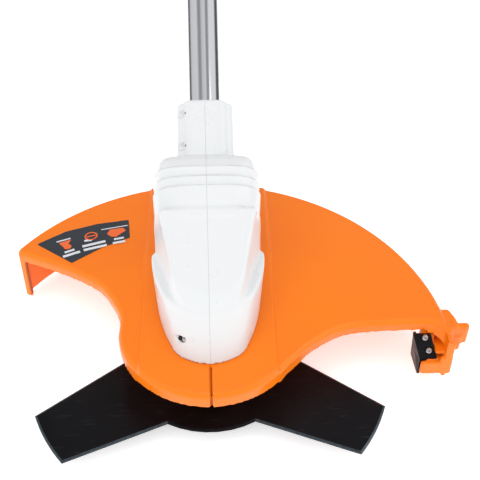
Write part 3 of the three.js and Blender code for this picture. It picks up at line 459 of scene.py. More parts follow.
def lathe(name, profile, look, axis_point=(0, 0, 0), axis=(0, 0, 1), segments=72, lobes=None):
    """A closed [radius, height] profile turned about an axis. lobes scales each angle's radius."""
    profile = np.array(profile, float)
    frame_turn = Vector((0, 0, 1)).rotation_difference(Vector(axis)).to_matrix()
    points = []
    for i in range(segments):
        a = 2 * math.pi * i / segments
        k = lobes(a) if lobes else 1.0
        for r, h in profile:
            points.append(frame_turn @ Vector((r * k * math.cos(a), r * k * math.sin(a), h)))
    points = np.array(points) + np.array(axis_point, float)
    n = len(profile)
    faces = []
    for i in range(segments):
        j = (i + 1) % segments
        for k in range(n - 1):
            faces.append([i * n + k, j * n + k, j * n + k + 1, i * n + k + 1])
    obj = mesh_object(name, points, faces, [look])
    clean(obj)
    soften(obj)
    return obj


def clean(obj, distance=1e-6):
    """Merges doubled points, such as those on a lathe's axis, and turns the faces outwards."""
    bm = bmesh.new()
    bm.from_mesh(obj.data)
    bmesh.ops.remove_doubles(bm, verts=bm.verts, dist=distance)
    bmesh.ops.recalc_face_normals(bm, faces=bm.faces)
    bm.to_mesh(obj.data)
    bm.free()


def soften(obj, angle=32):
    """Smooth shading that breaks at real edges."""
    for polygon in obj.data.polygons:
        polygon.use_smooth = True
    obj.data.set_sharp_from_angle(angle=math.radians(angle))


def bevelled(obj, width_mm, segments=2, angle=30):
    bevel = obj.modifiers.new("Bevel", "BEVEL")
    bevel.width = width_mm * MM
    bevel.segments = segments
    bevel.limit_method = "ANGLE"
    bevel.angle_limit = math.radians(angle)
    bevel.use_clamp_overlap = True
    bevel.harden_normals = True
    return obj


def in_shaft(x, s, n):
    """A point given across, along and above the shaft, in the row frame."""
    return np.array([x, 0, 0]) + s * UP + n * OUT + np.array([0, 0, SHAFT_Z])


def to_shaft(p):
    """Across, along and above the shaft, from points in the row frame."""
    q = p - np.array([0, 0, SHAFT_Z])
    return p[:, 0], q @ UP, q @ OUT


# ======================= motor housing =======================
def nose_cut(p):
    """Front face of the cup: gently bowed across, leaning back as it rises."""
    x, y, z = p.T
    rise = (z - HOUSING_FLOOR) / CUP_RISE
    bow = x**2 / 56
    return (-37.3 + 13.8 * rise + bow - y) / np.sqrt(1.15 + (x / 28) ** 2)


def cup_field(p):
    """Motor cup: flat-fronted oval with a soft crease each side of its nose and a rounded rim."""
    x, y, z = p.T
    rise = np.clip((z - HOUSING_FLOOR) / CUP_RISE, -0.2, 1.3)
    half = 36.6 + 2.2 * rise
    front = superellipse(x, y - CUP_MIDDLE_Y, half, 75 - 13.8 * rise, 1.88)
    back = superellipse(x, y - CUP_MIDDLE_Y, half, 8, 3)
    side = round_max(np.where(y < CUP_MIDDLE_Y, front, back), nose_cut(p), 1.2)
    return round_max(side, z - CUP_TOP, 2.6)


def hood_field(p):
    """Tapering hood: one flat facet on top, steep flanks, and a soft front edge."""
    x, s, n = to_shaft(p)
    places = [-10, 5, 34, 58, 80]
    facet = np.interp(s, places, [20.0, 22.2, 27.4, 32.8, 36.5])
    foot = np.interp(s, places, [24, 30, 34.4, 35.8, 36.2])
    slope = (foot - facet) / 25
    flank = (np.abs(x) - facet - slope * (HOOD_TOP - n)) / np.sqrt(1 + slope**2)
    top = round_max(round_max(flank, n - HOOD_TOP, 2.2), np.abs(x) - foot - 1.8, 1.5)
    return round_max(round_max(top, s - HOOD_END, 2.5), nose_cut(p) + 0.5, 4.5)


def shoulder_step(s):
    """Three overlapping ribs: each stands out at its upper edge and falls back towards the blade."""
    phase = ((s - RIB_START) / RIB_PITCH) % 1
    tooth = np.where(phase < RIB_CREST, phase / RIB_CREST, (1 - phase) / (1 - RIB_CREST))
    fade = np.clip((s - 60) / 13.4, 0, 1) * np.clip(RIB_START + 0.1 - s, 0, 1)
    return RIB_DEPTH * np.where((s > RIB_START) & (s < RIB_END), tooth, fade)


def barrel_field(p):
    """Shoulder with three ribs across it, falling to a smooth band."""
    x, s, n = to_shaft(p)
    places = [52, 64, 88, 89.2, 95, 100]
    half = np.interp(s, places, [36.4, 36.2, 34.9, 34.6, 33.6, 31])
    top = np.interp(s, places, [29.0, 29.2, 27.7, 27.4, 24.8, 20.5])
    grow = shoulder_step(s)
    low = np.interp(s, [52, 64, 88, 100], [27, 27.5, 27, 21])
    squareness = 3.4 + 1.6 * smooth_step((s - 84) / 10)
    body = superellipse(x, n, half + grow, np.where(n > 0, top + grow, low), squareness)
    return round_max(round_max(body, s - 99.6, 1.5), 52 - s, 1)


def neck_field(p):
    """Flat-faced collar on the tube, with a step down to a narrow flange along each side."""
    x, s, n = to_shaft(p)
    core = round_max(superellipse(x, n, 16.9, np.where(n > 0, 20, 19), 5), s - 143, 2.2)
    flange = round_max(superellipse(x, n, 20, np.where(n > 0, 17.2, 18), 7), s - 141.6, 1.6)
    return round_max(fillet_min(core, flange, 0.6), 92 - s, 1)


def housing_field(p):
    """The whole housing as a shell, with the tube's bore, the motor plate's rib and the screw holes."""
    x, s, n = to_shaft(p)
    upper = fillet_min(barrel_field(p), neck_field(p), 1.2)
    upper = fillet_min(upper, hood_field(p), 2.2)
    whole = fillet_min(upper, cup_field(p), 1.6)
    whole = round_max(whole, HOUSING_FLOOR - p[:, 2], 0.8)
    room = np.maximum(whole + HOUSING_WALL, HOUSING_FLOOR + 3.2 - p[:, 2])
    room = np.maximum(room, s - 94)
    shell = np.maximum(whole, -room)
    shell = np.minimum(shell, np.maximum(whole, np.abs(s - 68.7) - 1.75))
    shell = np.maximum(shell, -np.maximum(np.hypot(x, n) - TUBE_R - TUBE_FIT, TUBE_START - 1 - s))
    shell = np.maximum(shell, -rod(p, (0, 0, 50), (0, 0, 1), 20, 16.6))
    for screw_s, screw_n in NECK_SCREWS:
        hole = np.maximum(np.hypot(s - screw_s, n - screw_n) - 2.6, x + 14.6)
        shell = np.maximum(shell, -hole)
    nose_hole = rod(p, (-40, NOSE_SCREW["y"], NOSE_SCREW["z"]), (1, 0, 0), 24, 2.4)
    return np.maximum(shell, -nose_hole)


def split_skin(names, field, low, high, step):
    """Two clamshell halves of one surface, parted at the middle plane and closed there."""
    points, quads = surface(field, low, high, step)
    whole = bpy.data.meshes.new("whole")
    whole.from_pydata((points * MM).tolist(), [], quads.tolist())
    for side, name in zip((-1, 1), names):
        bm = bmesh.new()
        bm.from_mesh(whole)
        everything = bm.verts[:] + bm.edges[:] + bm.faces[:]
        parting = side * SEAM_HALF * MM
        cut = {"plane_co": (parting, 0, 0), "plane_no": (-side, 0, 0), "clear_outer": True}
        made = bmesh.ops.bisect_plane(bm, geom=everything, dist=1e-7, **cut)
        rim = [e for e in made["geom_cut"] if isinstance(e, bmesh.types.BMEdge)]
        bmesh.ops.triangle_fill(bm, use_beauty=True, use_dissolve=False, edges=rim)
        mesh = bpy.data.meshes.new(f"{name}_skin")
        bm.to_mesh(mesh)
        bm.free()
        obj = bpy.data.objects.new(f"{name}_skin", mesh)
        bpy.context.scene.collection.objects.link(obj)
        mesh.materials.append(white.material)
        shade_split(mesh, field, parting, side, step)
        stand_for(obj, "body", "white_plastic", name)
    bpy.data.meshes.remove(whole)


def shade_split(mesh, field, parting, side, step):
    """Smooth normals from the field, flat ones on the parting face."""
    places = np.array([v.co for v in mesh.vertices])
    normals = gradient(field, places / MM, 0.35 * step)
    normals /= np.maximum(np.linalg.norm(normals, axis=1), 1e-6)[:, None]
    flat = np.abs(places[:, 0] - parting) < 1e-7
    mesh.polygons.foreach_set("use_smooth", [True] * len(mesh.polygons))
    loops = []
    for polygon in mesh.polygons:
        on_parting = all(flat[v] for v in polygon.vertices)
        for v in polygon.vertices:
            loops.append((-side, 0, 0) if on_parting else tuple(normals[v]))
    mesh.normals_split_custom_set(loops)


def add_housing():
    low, high = (-39.5, -40, 59), (39.5, 142, 166)
    split_skin(("housing_left", "housing_right"), housing_field, low, high, 1.0)


# ======================= guard =======================
def rim_point(degrees, r):
    a = np.radians(degrees)
    return np.stack([GUARD_RIM["x"] + r * np.cos(a), GUARD_RIM["y"] + r * np.sin(a)], axis=-1)


def guard_outline():
    """Rim, left wing, apron and right wing, anticlockwise."""
    rim = rim_point(np.linspace(SKIRT_START + 7, SKIRT_END, 90), GUARD_RIM["r"])
    left = curve_points(LEFT_EDGE)
    a = np.radians(np.linspace(APRON_FROM, APRON_TO, 40))
    apron = np.stack([APRON_R * np.cos(a), APRON_R * np.sin(a)], axis=1)
    right = curve_points(RIGHT_EDGE)
    return np.vstack([rim[:-1], left[:-1], apron, right])


plan = Plan(guard_outline())


def crease_side(p):
    """How far a point is inside the raised saddle, across it."""
    x, y = p[:, 0], p[:, 1]
    left = np.interp(y, [-68, 200], [-49.3, -45.3])
    right = np.interp(y, [-72, 200], [45.2, 50.1])
    return np.minimum(x - left, right - x)


def fan_height(p):
    """Height of the guard's upper surface over a point in plan."""
    d = np.hypot(p[:, 0] - GUARD_RIM["x"], p[:, 1] - GUARD_RIM["y"])
    eased = GUARD_FLAT_R + np.where(d > 95, d - 87.5, np.maximum(d - 80, 0) ** 2 / 30)
    top = GUARD_RIM["z"] + GUARD_SLOPE * (GUARD_RIM["r"] - GUARD_FLAT_R)
    cone = np.minimum(top - GUARD_SLOPE * (eased - GUARD_FLAT_R), top)
    return cone + 2.0 * smooth_step(crease_side(p) / 2.4)


def skirt_low(p):
    """Height of the lower edge of the wall that hangs from the outline."""
    x, y, z = p.T
    angle = np.degrees(np.arctan2(y - GUARD_RIM["y"], x - GUARD_RIM["x"]))
    deep = np.interp(x, SKIRT_SPAN, SKIRT_LOW)
    on_rim = (angle > SKIRT_START + 6) & (angle < SKIRT_END)
    on_rim &= np.hypot(x - GUARD_RIM["x"], y - GUARD_RIM["y"]) > GUARD_RIM["r"] - 8
    top = fan_height(p)
    near_apron = smooth_step((70 - np.hypot(x, y)) / 6)
    lip = top - WING_LIP - (APRON_LIP - WING_LIP) * near_apron
    return np.where(on_rim, deep, lip)


def end_front(p):
    """The sloping front plate of the skirt's right end, with the arched opening cut out of it."""
    x, y, z = p.T
    edge = np.interp(x, [157.2, 161, 165, 168.5], [6.3, 4.4, 2.1, 0]) * np.clip((z - 25) / 20, 0, 1)
    sheared = np.stack([x, y + 0.29 * (45 - z) - edge, z], axis=1)
    plate = block(sheared, (154, -2.9, END_LOW), (172, 0.6, 49.5), 1.5)
    opening = np.where(z > 28, np.hypot(x - 155.2, z - 28) - 13.2, x - 168.4)
    opening = np.maximum(opening, 25 - z)
    return round_max(plate, -opening, 1.0)


def end_wall(p):
    """The folded end of the skirt at the right: low wall, floor, back wall, rib and arched corner."""
    x, y, z = p.T
    parts = [
        block(p, (150.2, -12, END_LOW), (172, -9.2, 24.6), 0.9),
        block(p, (163.4, -12, END_LOW), (172, -9.2, 30), 0.9),
        block(p, (152, -12, END_LOW), (172, 11, END_LOW + 3)),
        block(p, (168.6, -12, END_LOW - 1.4), (172, -7, 44), 1.4),
        block(p, (158, 8.8, END_LOW), (170, 11.8, 46)),
        block(p, (160, -8.4, 30), (170, 11, 32.6)),
        block(p, (161, -8.8, 22), (170, 11, 25)),
    ]
    made = end_front(p)
    for part in parts:
        made = fillet_min(made, part, 1.0)
    return made


def lug_field(p):
    """Stepped ear outside the right end of the rim."""
    p = p - np.array([0.4, 4, 0])
    ledge = block(p, (163, -0.6, 37.5), (176.5, 17, 46), 2.0)
    corner = (p[:, 0] - 176.5) * 0.92 + (p[:, 1] - 6.2) * 0.38
    ledge = round_max(ledge, corner, 1.0)
    ear = block(p, (164, 0, 26), (185, 5, 44.5), 2.0)
    step = block(p, (164, -1.2, 20), (180.6, 6.2, 36), 1.8)
    return fillet_min(fillet_min(ledge, ear, 1.5), step, 1.5)


def guard_field(p):
    """The whole guard: fan, hanging wall, folded right end, lug, knife block, slit and screw bosses."""
    inside = plan.at(p)
    top = fan_height(p)
    x, y, z = p.T
    near = np.clip(inside + 4.6, 0, 9)
    chamfer = 0.5 * np.where(near < 2, near**2 / 4, near - 1)
    edge = round_max(inside, z - top + chamfer, 3.6)
    fan = np.maximum(edge, top - GUARD_WALL - z)
    wall = np.maximum(np.maximum(edge, -(inside + GUARD_WALL)), skirt_low(p) - z)
    whole = fillet_min(fan, wall, 1.6)
    deep_end = np.maximum(wall_sector(p), np.maximum(z - 46, skirt_floor(p)))
    whole = fillet_min(whole, deep_end, 0.5)
    whole = fillet_min(whole, end_wall(p), 1.2)
    whole = fillet_min(whole, lug_field(p), 1.6)
    whole = np.minimum(whole, boss_field(p))
    slit = block(p, (-0.5, -70, 30), (0.5, -38, 70), 0.2)
    whole = np.maximum(whole, -slit)
    whole = np.maximum(whole, -rod(p, (0, 0, 30), (0, 0, 1), 60, 17))
    for sx, sy in GUARD_SCREWS:
        pillar = np.maximum(np.hypot(x - sx, y - sy) - 6, np.maximum(52 - z, z - 57))
        whole = fillet_min(whole, pillar, 1.2)
        whole = np.maximum(whole, 2.4 - np.hypot(x - sx, y - sy))
    return whole


def wall_sector(p):
    """The skirt's round wall near its right end, past where the outline turns forward."""
    x, y = p[:, 0] - GUARD_RIM["x"], p[:, 1] - GUARD_RIM["y"]
    d = np.hypot(x, y)
    angle = np.degrees(np.arctan2(y, x))
    ends = np.maximum(SKIRT_START - angle, angle - 12) * d * math.pi / 180
    return round_max(np.abs(d - GUARD_RIM["r"] + GUARD_WALL / 2) - GUARD_WALL / 2, ends, 0.4)


def skirt_floor(p):
    return np.interp(p[:, 0], SKIRT_SPAN, SKIRT_LOW) - p[:, 2]


def boss_field(p):
    """Block behind the knife, joined to the underside of the fan."""
    behind = (p - KNIFE_CORNER) @ KNIFE_NORMAL + 2.2
    body = block(p, (151, -6.6, 23), (160.5, 10, 49), 0.8)
    return np.maximum(body, behind)


def add_guard():
    low, high = (-178, -68, 0), (188, 166, 64)
    skin("guard_skin", guard_field, low, high, 1.5, orange, "body", "orange_plastic", "guard")


# ======================= label =======================
def label_space():
    """Origin and axes of the label, in millimetres: u along it, v up it."""
    low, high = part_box("guard_label")
    centre = (np.array(low) + np.array(high)) / 2 / MM
    cosine, sine = math.cos(LABEL_TURN), math.sin(LABEL_TURN)
    return centre, np.array([cosine, sine]), np.array([-sine, cosine])


def on_label(u, v, lift):
    centre, along, across = label_space()
    xy = centre[:2] + u * along + v * across
    z = fan_height(np.array([[xy[0], xy[1], 0.0]]))[0]
    return np.array([xy[0], xy[1], z + lift])


def mark(name, outline, look, lift=0.75):
    """A flat printed mark on the label, given by its corners in the label's own plane."""
    top = [on_label(u, v, lift) for u, v in outline]
    low = [on_label(u, v, lift - 0.25) for u, v in outline]
    n = len(outline)
    faces = [list(range(n)), list(range(2 * n - 1, n - 1, -1))]
    faces += [[(i + 1) % n, i, n + i, n + (i + 1) % n] for i in range(n)]
    obj = mesh_object(name, top + low, faces, [look], smooth=False)
    clean(obj, 1e-8)
    return stand_for(obj, "body", "label_film")


def bar(name, u0, v0, u1, v1, height, look=None):
    """A slanting stroke that stands for a line of print."""
    run = np.array([u1 - u0, v1 - v0])
    side = np.array([-run[1], run[0]]) / np.linalg.norm(run) * height / 2
    a, b = np.array([u0, v0]), np.array([u1, v1])
    return mark(name, [a - side, b - side, b + side, a + side], look or print_white)


def disc_outline(u, v, r, steps=20):
    turns = [2 * math.pi * i / steps for i in range(steps)]
    return [(u + r * math.cos(a), v + r * math.sin(a)) for a in turns]


def add_label():
    sheet = Plan(np.array(LABEL))

    def film_field(p):
        top = fan_height(p)
        plate = round_max(sheet.at(p) - 0.6, p[:, 2] - top - 0.5, 0.3)
        return round_max(plate, top - 1.6 - p[:, 2], 0.3)

    low, high = (-133, 64, 44), (-55, 119, 60)
    skin("guard_label_skin", film_field, low, high, 0.8, film, "body", "label_film", "guard_label")
    # left group: a triangle with a disc, and two lines of strokes
    bar("label_line_1", -20.3, 4.9, -9.5, 6.4, 1.3)
    mark("label_triangle", [(-18.6, 3.0), (-9.2, 4.6), (-14.2, -5.2)], print_orange)
    mark("label_disc", disc_outline(-12.4, -3.4, 2.9), print_orange, 0.85)
    bar("label_line_2", -15.0, -9.6, -7.6, -8.0, 2.2)
    bar("label_line_3", -16.6, -14.2, -3.6, -11.8, 2.5)
    # middle group: a ring with a stroke, and two lines
    add_ring("label_ring", 6.2, 4.6, 5.0, 1.1)
    bar("label_line_4", 2.8, 4.4, 9.6, 4.8, 1.2, print_orange)
    bar("label_line_5", 0.6, 0.2, 6.4, -0.4, 2.2)
    bar("label_line_6", -1.4, -6.3, 16.2, -4.8, 2.6)
    bar("label_line_7", -0.8, -11.0, 16.8, -9.7, 2.6)
    # right group: a blade-like block under a thin line, and two lines
    bar("label_line_8", 14.6, 10.4, 35.0, 10.4, 0.9)
    corners = [(18.4, 4.0), (20.6, 0.0), (24.6, -1.6), (28.0, 0.8), (32.9, 4.2), (31.2, 8.2), (21.2, 8.6)]
    mark("label_block", corners, print_orange)
    bar("label_line_9", 22.8, -4.4, 30.4, -4.2, 2.1)
    bar("label_line_10", 21.4, -9.0, 31.0, -8.8, 2.5)


def add_ring(name, u, v, r, width, steps=28):
    outer = [on_label(*q, 0.75) for q in disc_outline(u, v, r, steps)]
    inner = [on_label(*q, 0.75) for q in disc_outline(u, v, r - width, steps)]
    drop = np.array([0, 0, -0.25])
    points = outer + inner + [q + drop for q in outer] + [q + drop for q in inner]
    faces = []
    for i in range(steps):
        j = (i + 1) % steps
        faces.append([i, j, steps + j, steps + i])
        faces.append([2 * steps + j, 2 * steps + i, 3 * steps + i, 3 * steps + j])
        faces.append([i, 2 * steps + i, 2 * steps + j, j])
        faces.append([steps + j, 3 * steps + j, 3 * steps + i, steps + i])
    obj = mesh_object(name, points, faces, [print_orange], smooth=False)
    clean(obj, 1e-8)
    return stand_for(obj, "body", "label_film")


# ======================= blade and what clamps it =======================
def blade_ring(inset):
    """The blade's outline with every straight edge moved in by `inset`."""
    points = []
    tip_half, root_half = BLADE_TIP_HALF - inset, BLADE_ROOT_HALF - inset
    for arm in range(3):
        turn = math.pi / 2 + arm * 2 * math.pi / 3
        hub = BLADE_HUB_R - inset
        reach = BLADE_R - inset
        root = math.sqrt(hub**2 - root_half**2)
        corner = math.sqrt(reach**2 - tip_half**2)
        for t in np.linspace(0, 1, SIDE_STEPS):
            points.append((root + (corner - root) * t, -(root_half + (tip_half - root_half) * t), turn))
        tip = math.asin(tip_half / reach)
        for a in np.linspace(-tip, tip, TIP_STEPS + 2)[1:-1]:
            points.append((reach * math.cos(a), reach * math.sin(a), turn))
        for t in np.linspace(1, 0, SIDE_STEPS):
            points.append((root + (corner - root) * t, root_half + (tip_half - root_half) * t, turn))
        hub_angle = math.asin(root_half / hub)
        for a in np.linspace(hub_angle, 2 * math.pi / 3 - hub_angle, 8)[1:-1]:
            points.append((hub * math.cos(a), hub * math.sin(a), turn))
    return [(u * math.cos(t) - v * math.sin(t), u * math.sin(t) + v * math.cos(t)) for u, v, t in points]


def ground_part(index, per_arm):
    """True where the outline runs along an arm's sharpened sides or its tip."""
    return index % per_arm < 2 * SIDE_STEPS + TIP_STEPS - 1


def add_blade():
    """Sheet blade with a ground bevel round each tooth, a bore, and rounded arrises."""
    top, low = BLADE_TOP, BLADE_TOP - BLADE_THICK
    levels = [(blade_ring(1.5), top), (blade_ring(0.25), top - 0.8), (blade_ring(0.0), top - 1.3),
              (blade_ring(0.2), low + 0.1), (blade_ring(0.6), low)]
    n = len(levels[0][0])
    bore = []
    for x, y in levels[0][0]:
        a = math.atan2(y, x)
        bore.append((BLADE_BORE_R * math.cos(a), BLADE_BORE_R * math.sin(a)))
    rings = [(bore, low), (bore, top)] + levels
    points = [(x, y, z) for ring, z in rings for x, y in ring]
    faces, ground_faces = [], []
    count = len(rings)
    for k in range(count):
        k2 = (k + 1) % count
        for i in range(n):
            j = (i + 1) % n
            faces.append([k * n + i, k * n + j, k2 * n + j, k2 * n + i])
            ground_faces.append(k in (2, 3) and ground_part(i, n // 3))
    obj = mesh_object("blade_steel_skin", points, faces, [coat, ground], smooth=False)
    for polygon, is_ground in zip(obj.data.polygons, ground_faces):
        polygon.material_index = int(is_ground)
    clean(obj, 1e-8)
    return stand_for(obj, "drive", "blade_steel", "blade")


def add_glide_cup():
    """Dished cup under the hub: outside from the middle up to the rim, then back down inside."""
    profile = [
        (0, 0), (14.6, 0), (15.6, 0.15), (22, 1.3), (30, 3.4), (35, 6.4), (38.6, 9.4), (40.4, 12),
        (41, 14.6), (41, 15.6), (40.6, 16), (39.2, 16), (38.7, 15.6), (37.6, 13.5), (33.5, 9.6),
        (28.6, 6.6), (20, 5.2), (13, 5.2), (0, 5.2),
    ]
    cup = lathe("glide_cup_skin", profile, black, segments=96)
    stand_for(cup, "drive", "black_plastic", "glide_cup")


# ======================= tube and screws =======================
def add_tube():
    low, high = TUBE_START, TUBE_END
    profile = [
        (11.2, low + 0.4), (11.6, low), (12.6, low), (13, low + 0.4),
        (13, 300), (13, 600), (13, 900),
        (13, high - 0.4), (12.6, high), (11.6, high), (11.2, high - 0.4),
        (11.2, 900), (11.2, 600), (11.2, 300), (11.2, low + 0.4),
    ]
    tube = lathe("shaft_tube_skin", profile, tube_metal, (0, 0, SHAFT_Z), UP, 96)
    stand_for(tube, "body", "aluminium", "shaft_tube")


def screw(node, head_point, axis, radius, height, shank, look, slot):
    """Pan-head screw with a round recess. The axis points out of the head."""
    recess = radius * 0.52
    profile = [
        (0, -shank), (radius * 0.42, -shank), (radius * 0.5, -shank + 0.5), (radius * 0.5, 0), (radius, 0),
        (radius, height * 0.3), (radius * 0.93, height * 0.65), (radius * 0.75, height * 0.92),
        (recess * 1.12, height), (recess, height * 0.94), (recess * 0.94, height * 0.3), (0, height * 0.3),
    ]
    obj = lathe(f"{node}_skin", profile, look, head_point, axis, 30)
    return stand_for(obj, "body", slot, node)


def screw_in_box(node, axis, radius, height, look, slot, sink=0.0):
    """A screw whose head's outer face lies `sink` below the CAD screw's box, along the given axis."""
    axis = np.array(axis, float)
    low, high = cad_reach(node, 0)
    half = np.abs((high - low) / 2 @ np.abs(axis)) if abs(axis).max() > 0.99 else None
    centre = (low + high) / 2
    if half is None:
        vertices = np.array([v.co for v in frame["nodes"][node].data.vertices]) / MM
        along = vertices @ axis
        half = (along.max() - along.min()) / 2
        centre = centre + axis * ((along.max() + along.min()) / 2 - centre @ axis)
    head = centre + axis * (half - height - sink)
    return screw(node, head, axis, radius, height, 2 * half - height - sink - 0.2, look, slot)


def add_screws():
    for i in (1, 2, 3, 4):
        screw_in_box(f"neck_screw_{i}", (-1, 0, 0), 2.3, 1.8, dark_steel, "dark_steel", sink=1.4)
        screw_in_box(f"guard_screw_{i}", (0, 0, -1), 4.3, 3.0, dark_steel, "dark_steel")
    screw_in_box("nose_screw", (-1, 0, 0), 2.3, 1.8, steel, "dark_steel", sink=-1.6)
    for i in (1, 2, 3):
        screw_in_box(f"handle_screw_{i}", (-1, 0, 0), 3.2, 2.3, dark_steel, "dark_steel")
    for i in (1, 2):
        screw_in_box(f"knife_screw_{i}", KNIFE_NORMAL, 2.3, 1.6, steel, "bright_steel")
        screw_in_box(f"bracket_screw_{i}", -OUT, 4.0, 3.0, steel, "bright_steel")
    screw_in_box("harness_screw", (1, 0, 0), 4.1, 2.8, dark_steel, "dark_steel")


# ======================= loop handle =======================
def arch_path():
    """Middle line of the loop's bar, from one ear over the top to the other."""
    corners = [(25, 3), (30, 24), (54, 48), (66, 82), (46, 116), (0, 127)]
    corners += [(-x, n) for x, n in reversed(corners[:-1])]
    flat = curve_points([(x, n, 0) for x, n in corners], 10)
    return np.array([in_shaft(x, LOOP_S, LOOP_N + n) for x, n, _ in flat])


def add_loop():
    """Loop handle: a bent bar with two flat ears that stand each side of the bracket."""
    path = arch_path()

    def field(p):
        x, s, n = to_shaft(p)
        s, n = s - LOOP_S, n - LOOP_N
        tube = near_path(p, path) - LOOP_R
        across = np.maximum(np.abs(x) - 25, 14.3 - np.abs(x))
        ears = round_max(np.hypot(s, n) - 12.5, across, 1.2)
        made = fillet_min(tube, ears, 4)
        room = np.maximum(np.abs(x) - 14.3, n - 18)
        made = np.maximum(made, -room)
        flank = np.maximum(29 - np.abs(x), n - 21)
        made = np.maximum(made, -flank)
        return np.maximum(made, 4.3 - np.hypot(s, n) - 1e3 * (np.abs(n) > 8))

    low, high = cad_reach("loop_handle", 2)
    skin("loop_handle_skin", field, low, high, 1.5, black, "loop", "black_plastic", "loop_handle")
    add_loop_grip(path)


def add_loop_knob():
    """Five-lobed hand knob on the end of the loop's bolt."""
    base = in_shaft(0, LOOP_S, LOOP_N) + np.array([29.4, 0, 0])
    profile = [
        (0, 0), (9, 0), (9, 1.6), (14.5, 1.6), (16, 2.8), (16.6, 5.2), (16.2, 12.6), (14.6, 15.2),
        (10, 15.6), (8.6, 14.4), (0, 14.2),
    ]
    lobes = lambda a: 0.97 + 0.17 * math.cos(5 * a)
    knob = lathe("loop_knob_skin", profile, black, base, (1, 0, 0), 90, lobes)
    stand_for(knob, "knob", "black_plastic", "loop_knob")


def add_loop_grip(path):
    """Ribbed soft sleeve over the top of the loop, as rings swept along it."""
    lengths = np.concatenate([[0], np.cumsum(np.linalg.norm(np.diff(path, axis=0), axis=1))])
    steps, sides = 190, 36
    where = np.linspace(0.265, 0.735, steps) * lengths[-1]
    centres = np.stack([np.interp(where, lengths, path[:, i]) for i in range(3)], axis=1)
    tangents = np.gradient(centres, axis=0)
    points = []
    for k, (c, t) in enumerate(zip(centres, tangents)):
        t = t / np.linalg.norm(t)
        side = np.cross(t, UP)
        side /= np.linalg.norm(side)
        end = min(k, steps - 1 - k)
        rib = 0.55 * max(0.0, math.cos(2 * math.pi * k / 7)) if 8 < k < steps - 9 else 0.4
        radius = 11.7 + rib - (1.0 if end == 0 else 0.3 if end == 1 else 0)
        for i in range(sides):
            a = 2 * math.pi * i / sides
            points.append(c + radius * (math.cos(a) * side + math.sin(a) * UP))
    outer = len(points)
    faces = []
    for k in range(steps - 1):
        for i in range(sides):
            j = (i + 1) % sides
            faces.append([k * sides + i, k * sides + j, (k + 1) * sides + j, (k + 1) * sides + i])
    for k, c in ((0, centres[0]), (steps - 1, centres[-1])):
        points.append(c)
        hub = len(points) - 1
        for i in range(sides):
            j = (i + 1) % sides
            faces.append([hub, k * sides + i, k * sides + j])
    grip = mesh_object("loop_grip_skin", points, faces, [rubber])
    clean(grip)
    soften(grip, 50)
    stand_for(grip, "loop", "rubber", "loop_grip")


# ======================= rear handle, battery and controls =======================
def station(s, values):
    """Values that change along the shaft, eased between the stations of a table."""
    places = [row[0] for row in values]
    return [np.interp(s, places, [row[i] for row in values]) for i in range(1, len(values[0]))]


def handle_field(p):
    """Rear grip, hand-guard bow and battery socket, with the rooms for what they hold."""
    x, s, n = to_shaft(p)
    half, low, high, power = station(s, HANDLE_STATIONS)
    middle, tall = (low + high) / 2, (high - low) / 2
    q, flanks = np.stack([x, s, n], axis=1), np.stack([np.abs(x), s, n], axis=1)
    body = superellipse(x, n - middle, half, tall, power)
    body = round_max(round_max(body, s - GRIP["end"], 1.2), GRIP["start"] - s, 2)
    bow = curve_points([(1296, -14), (1304, -44), (1336, -68), (1392, -73), (1440, -62), (1472, -40)], 5)
    in_plane = near_path(np.stack([s, n], axis=1), bow)
    ring = superellipse(x, in_plane, 9.5, 7.5, 2.6)
    whole = fillet_min(body, ring, 5)
    pocket = block(q, (-37.3, 1474, -48.3), (37.3, 1600, 34.3), 9)
    grip_room = superellipse(x, n + 4, 11.5, np.interp(s, [1298, 1380], [17, 13]), 4)
    grip_room = np.maximum(grip_room, np.maximum(1298 - s, s - 1476))
    tube = np.maximum(np.hypot(x, n) - TUBE_R - TUBE_FIT, s - TUBE_END - 0.3)
    slot = block(q, (-6.2, 1326, -60), (6.2, 1380, -12), 1)
    lock = block(q, (-5.3, 1343.7, 4), (5.3, 1360.3, 40), 1)
    for room in (pocket, grip_room, tube, slot, lock):
        whole = np.maximum(whole, -room)
    for k in range(6):  # cooling slots on each side of the battery socket
        vent = block(flanks, (38, 1474 + 7 * k, -22), (44, 1477 + 7 * k, 10), 0.8)
        whole = np.maximum(whole, -np.maximum(vent, 39.4 - np.abs(x)))
    for screw_s, screw_n, deep in ((1262, 18.4, 11), (1262, -18.4, 11), (1392, -73, 3)):
        hole = np.maximum(np.hypot(s - screw_s, n - screw_n) - 3.7, x + deep)
        whole = np.maximum(whole, -hole)
    return whole


def add_rear_handle():
    low, high = cad_reach("rear_handle_left", 2)
    high[0] = -low[0]
    split_skin(("rear_handle_left", "rear_handle_right"), handle_field, low, high, 1.7)


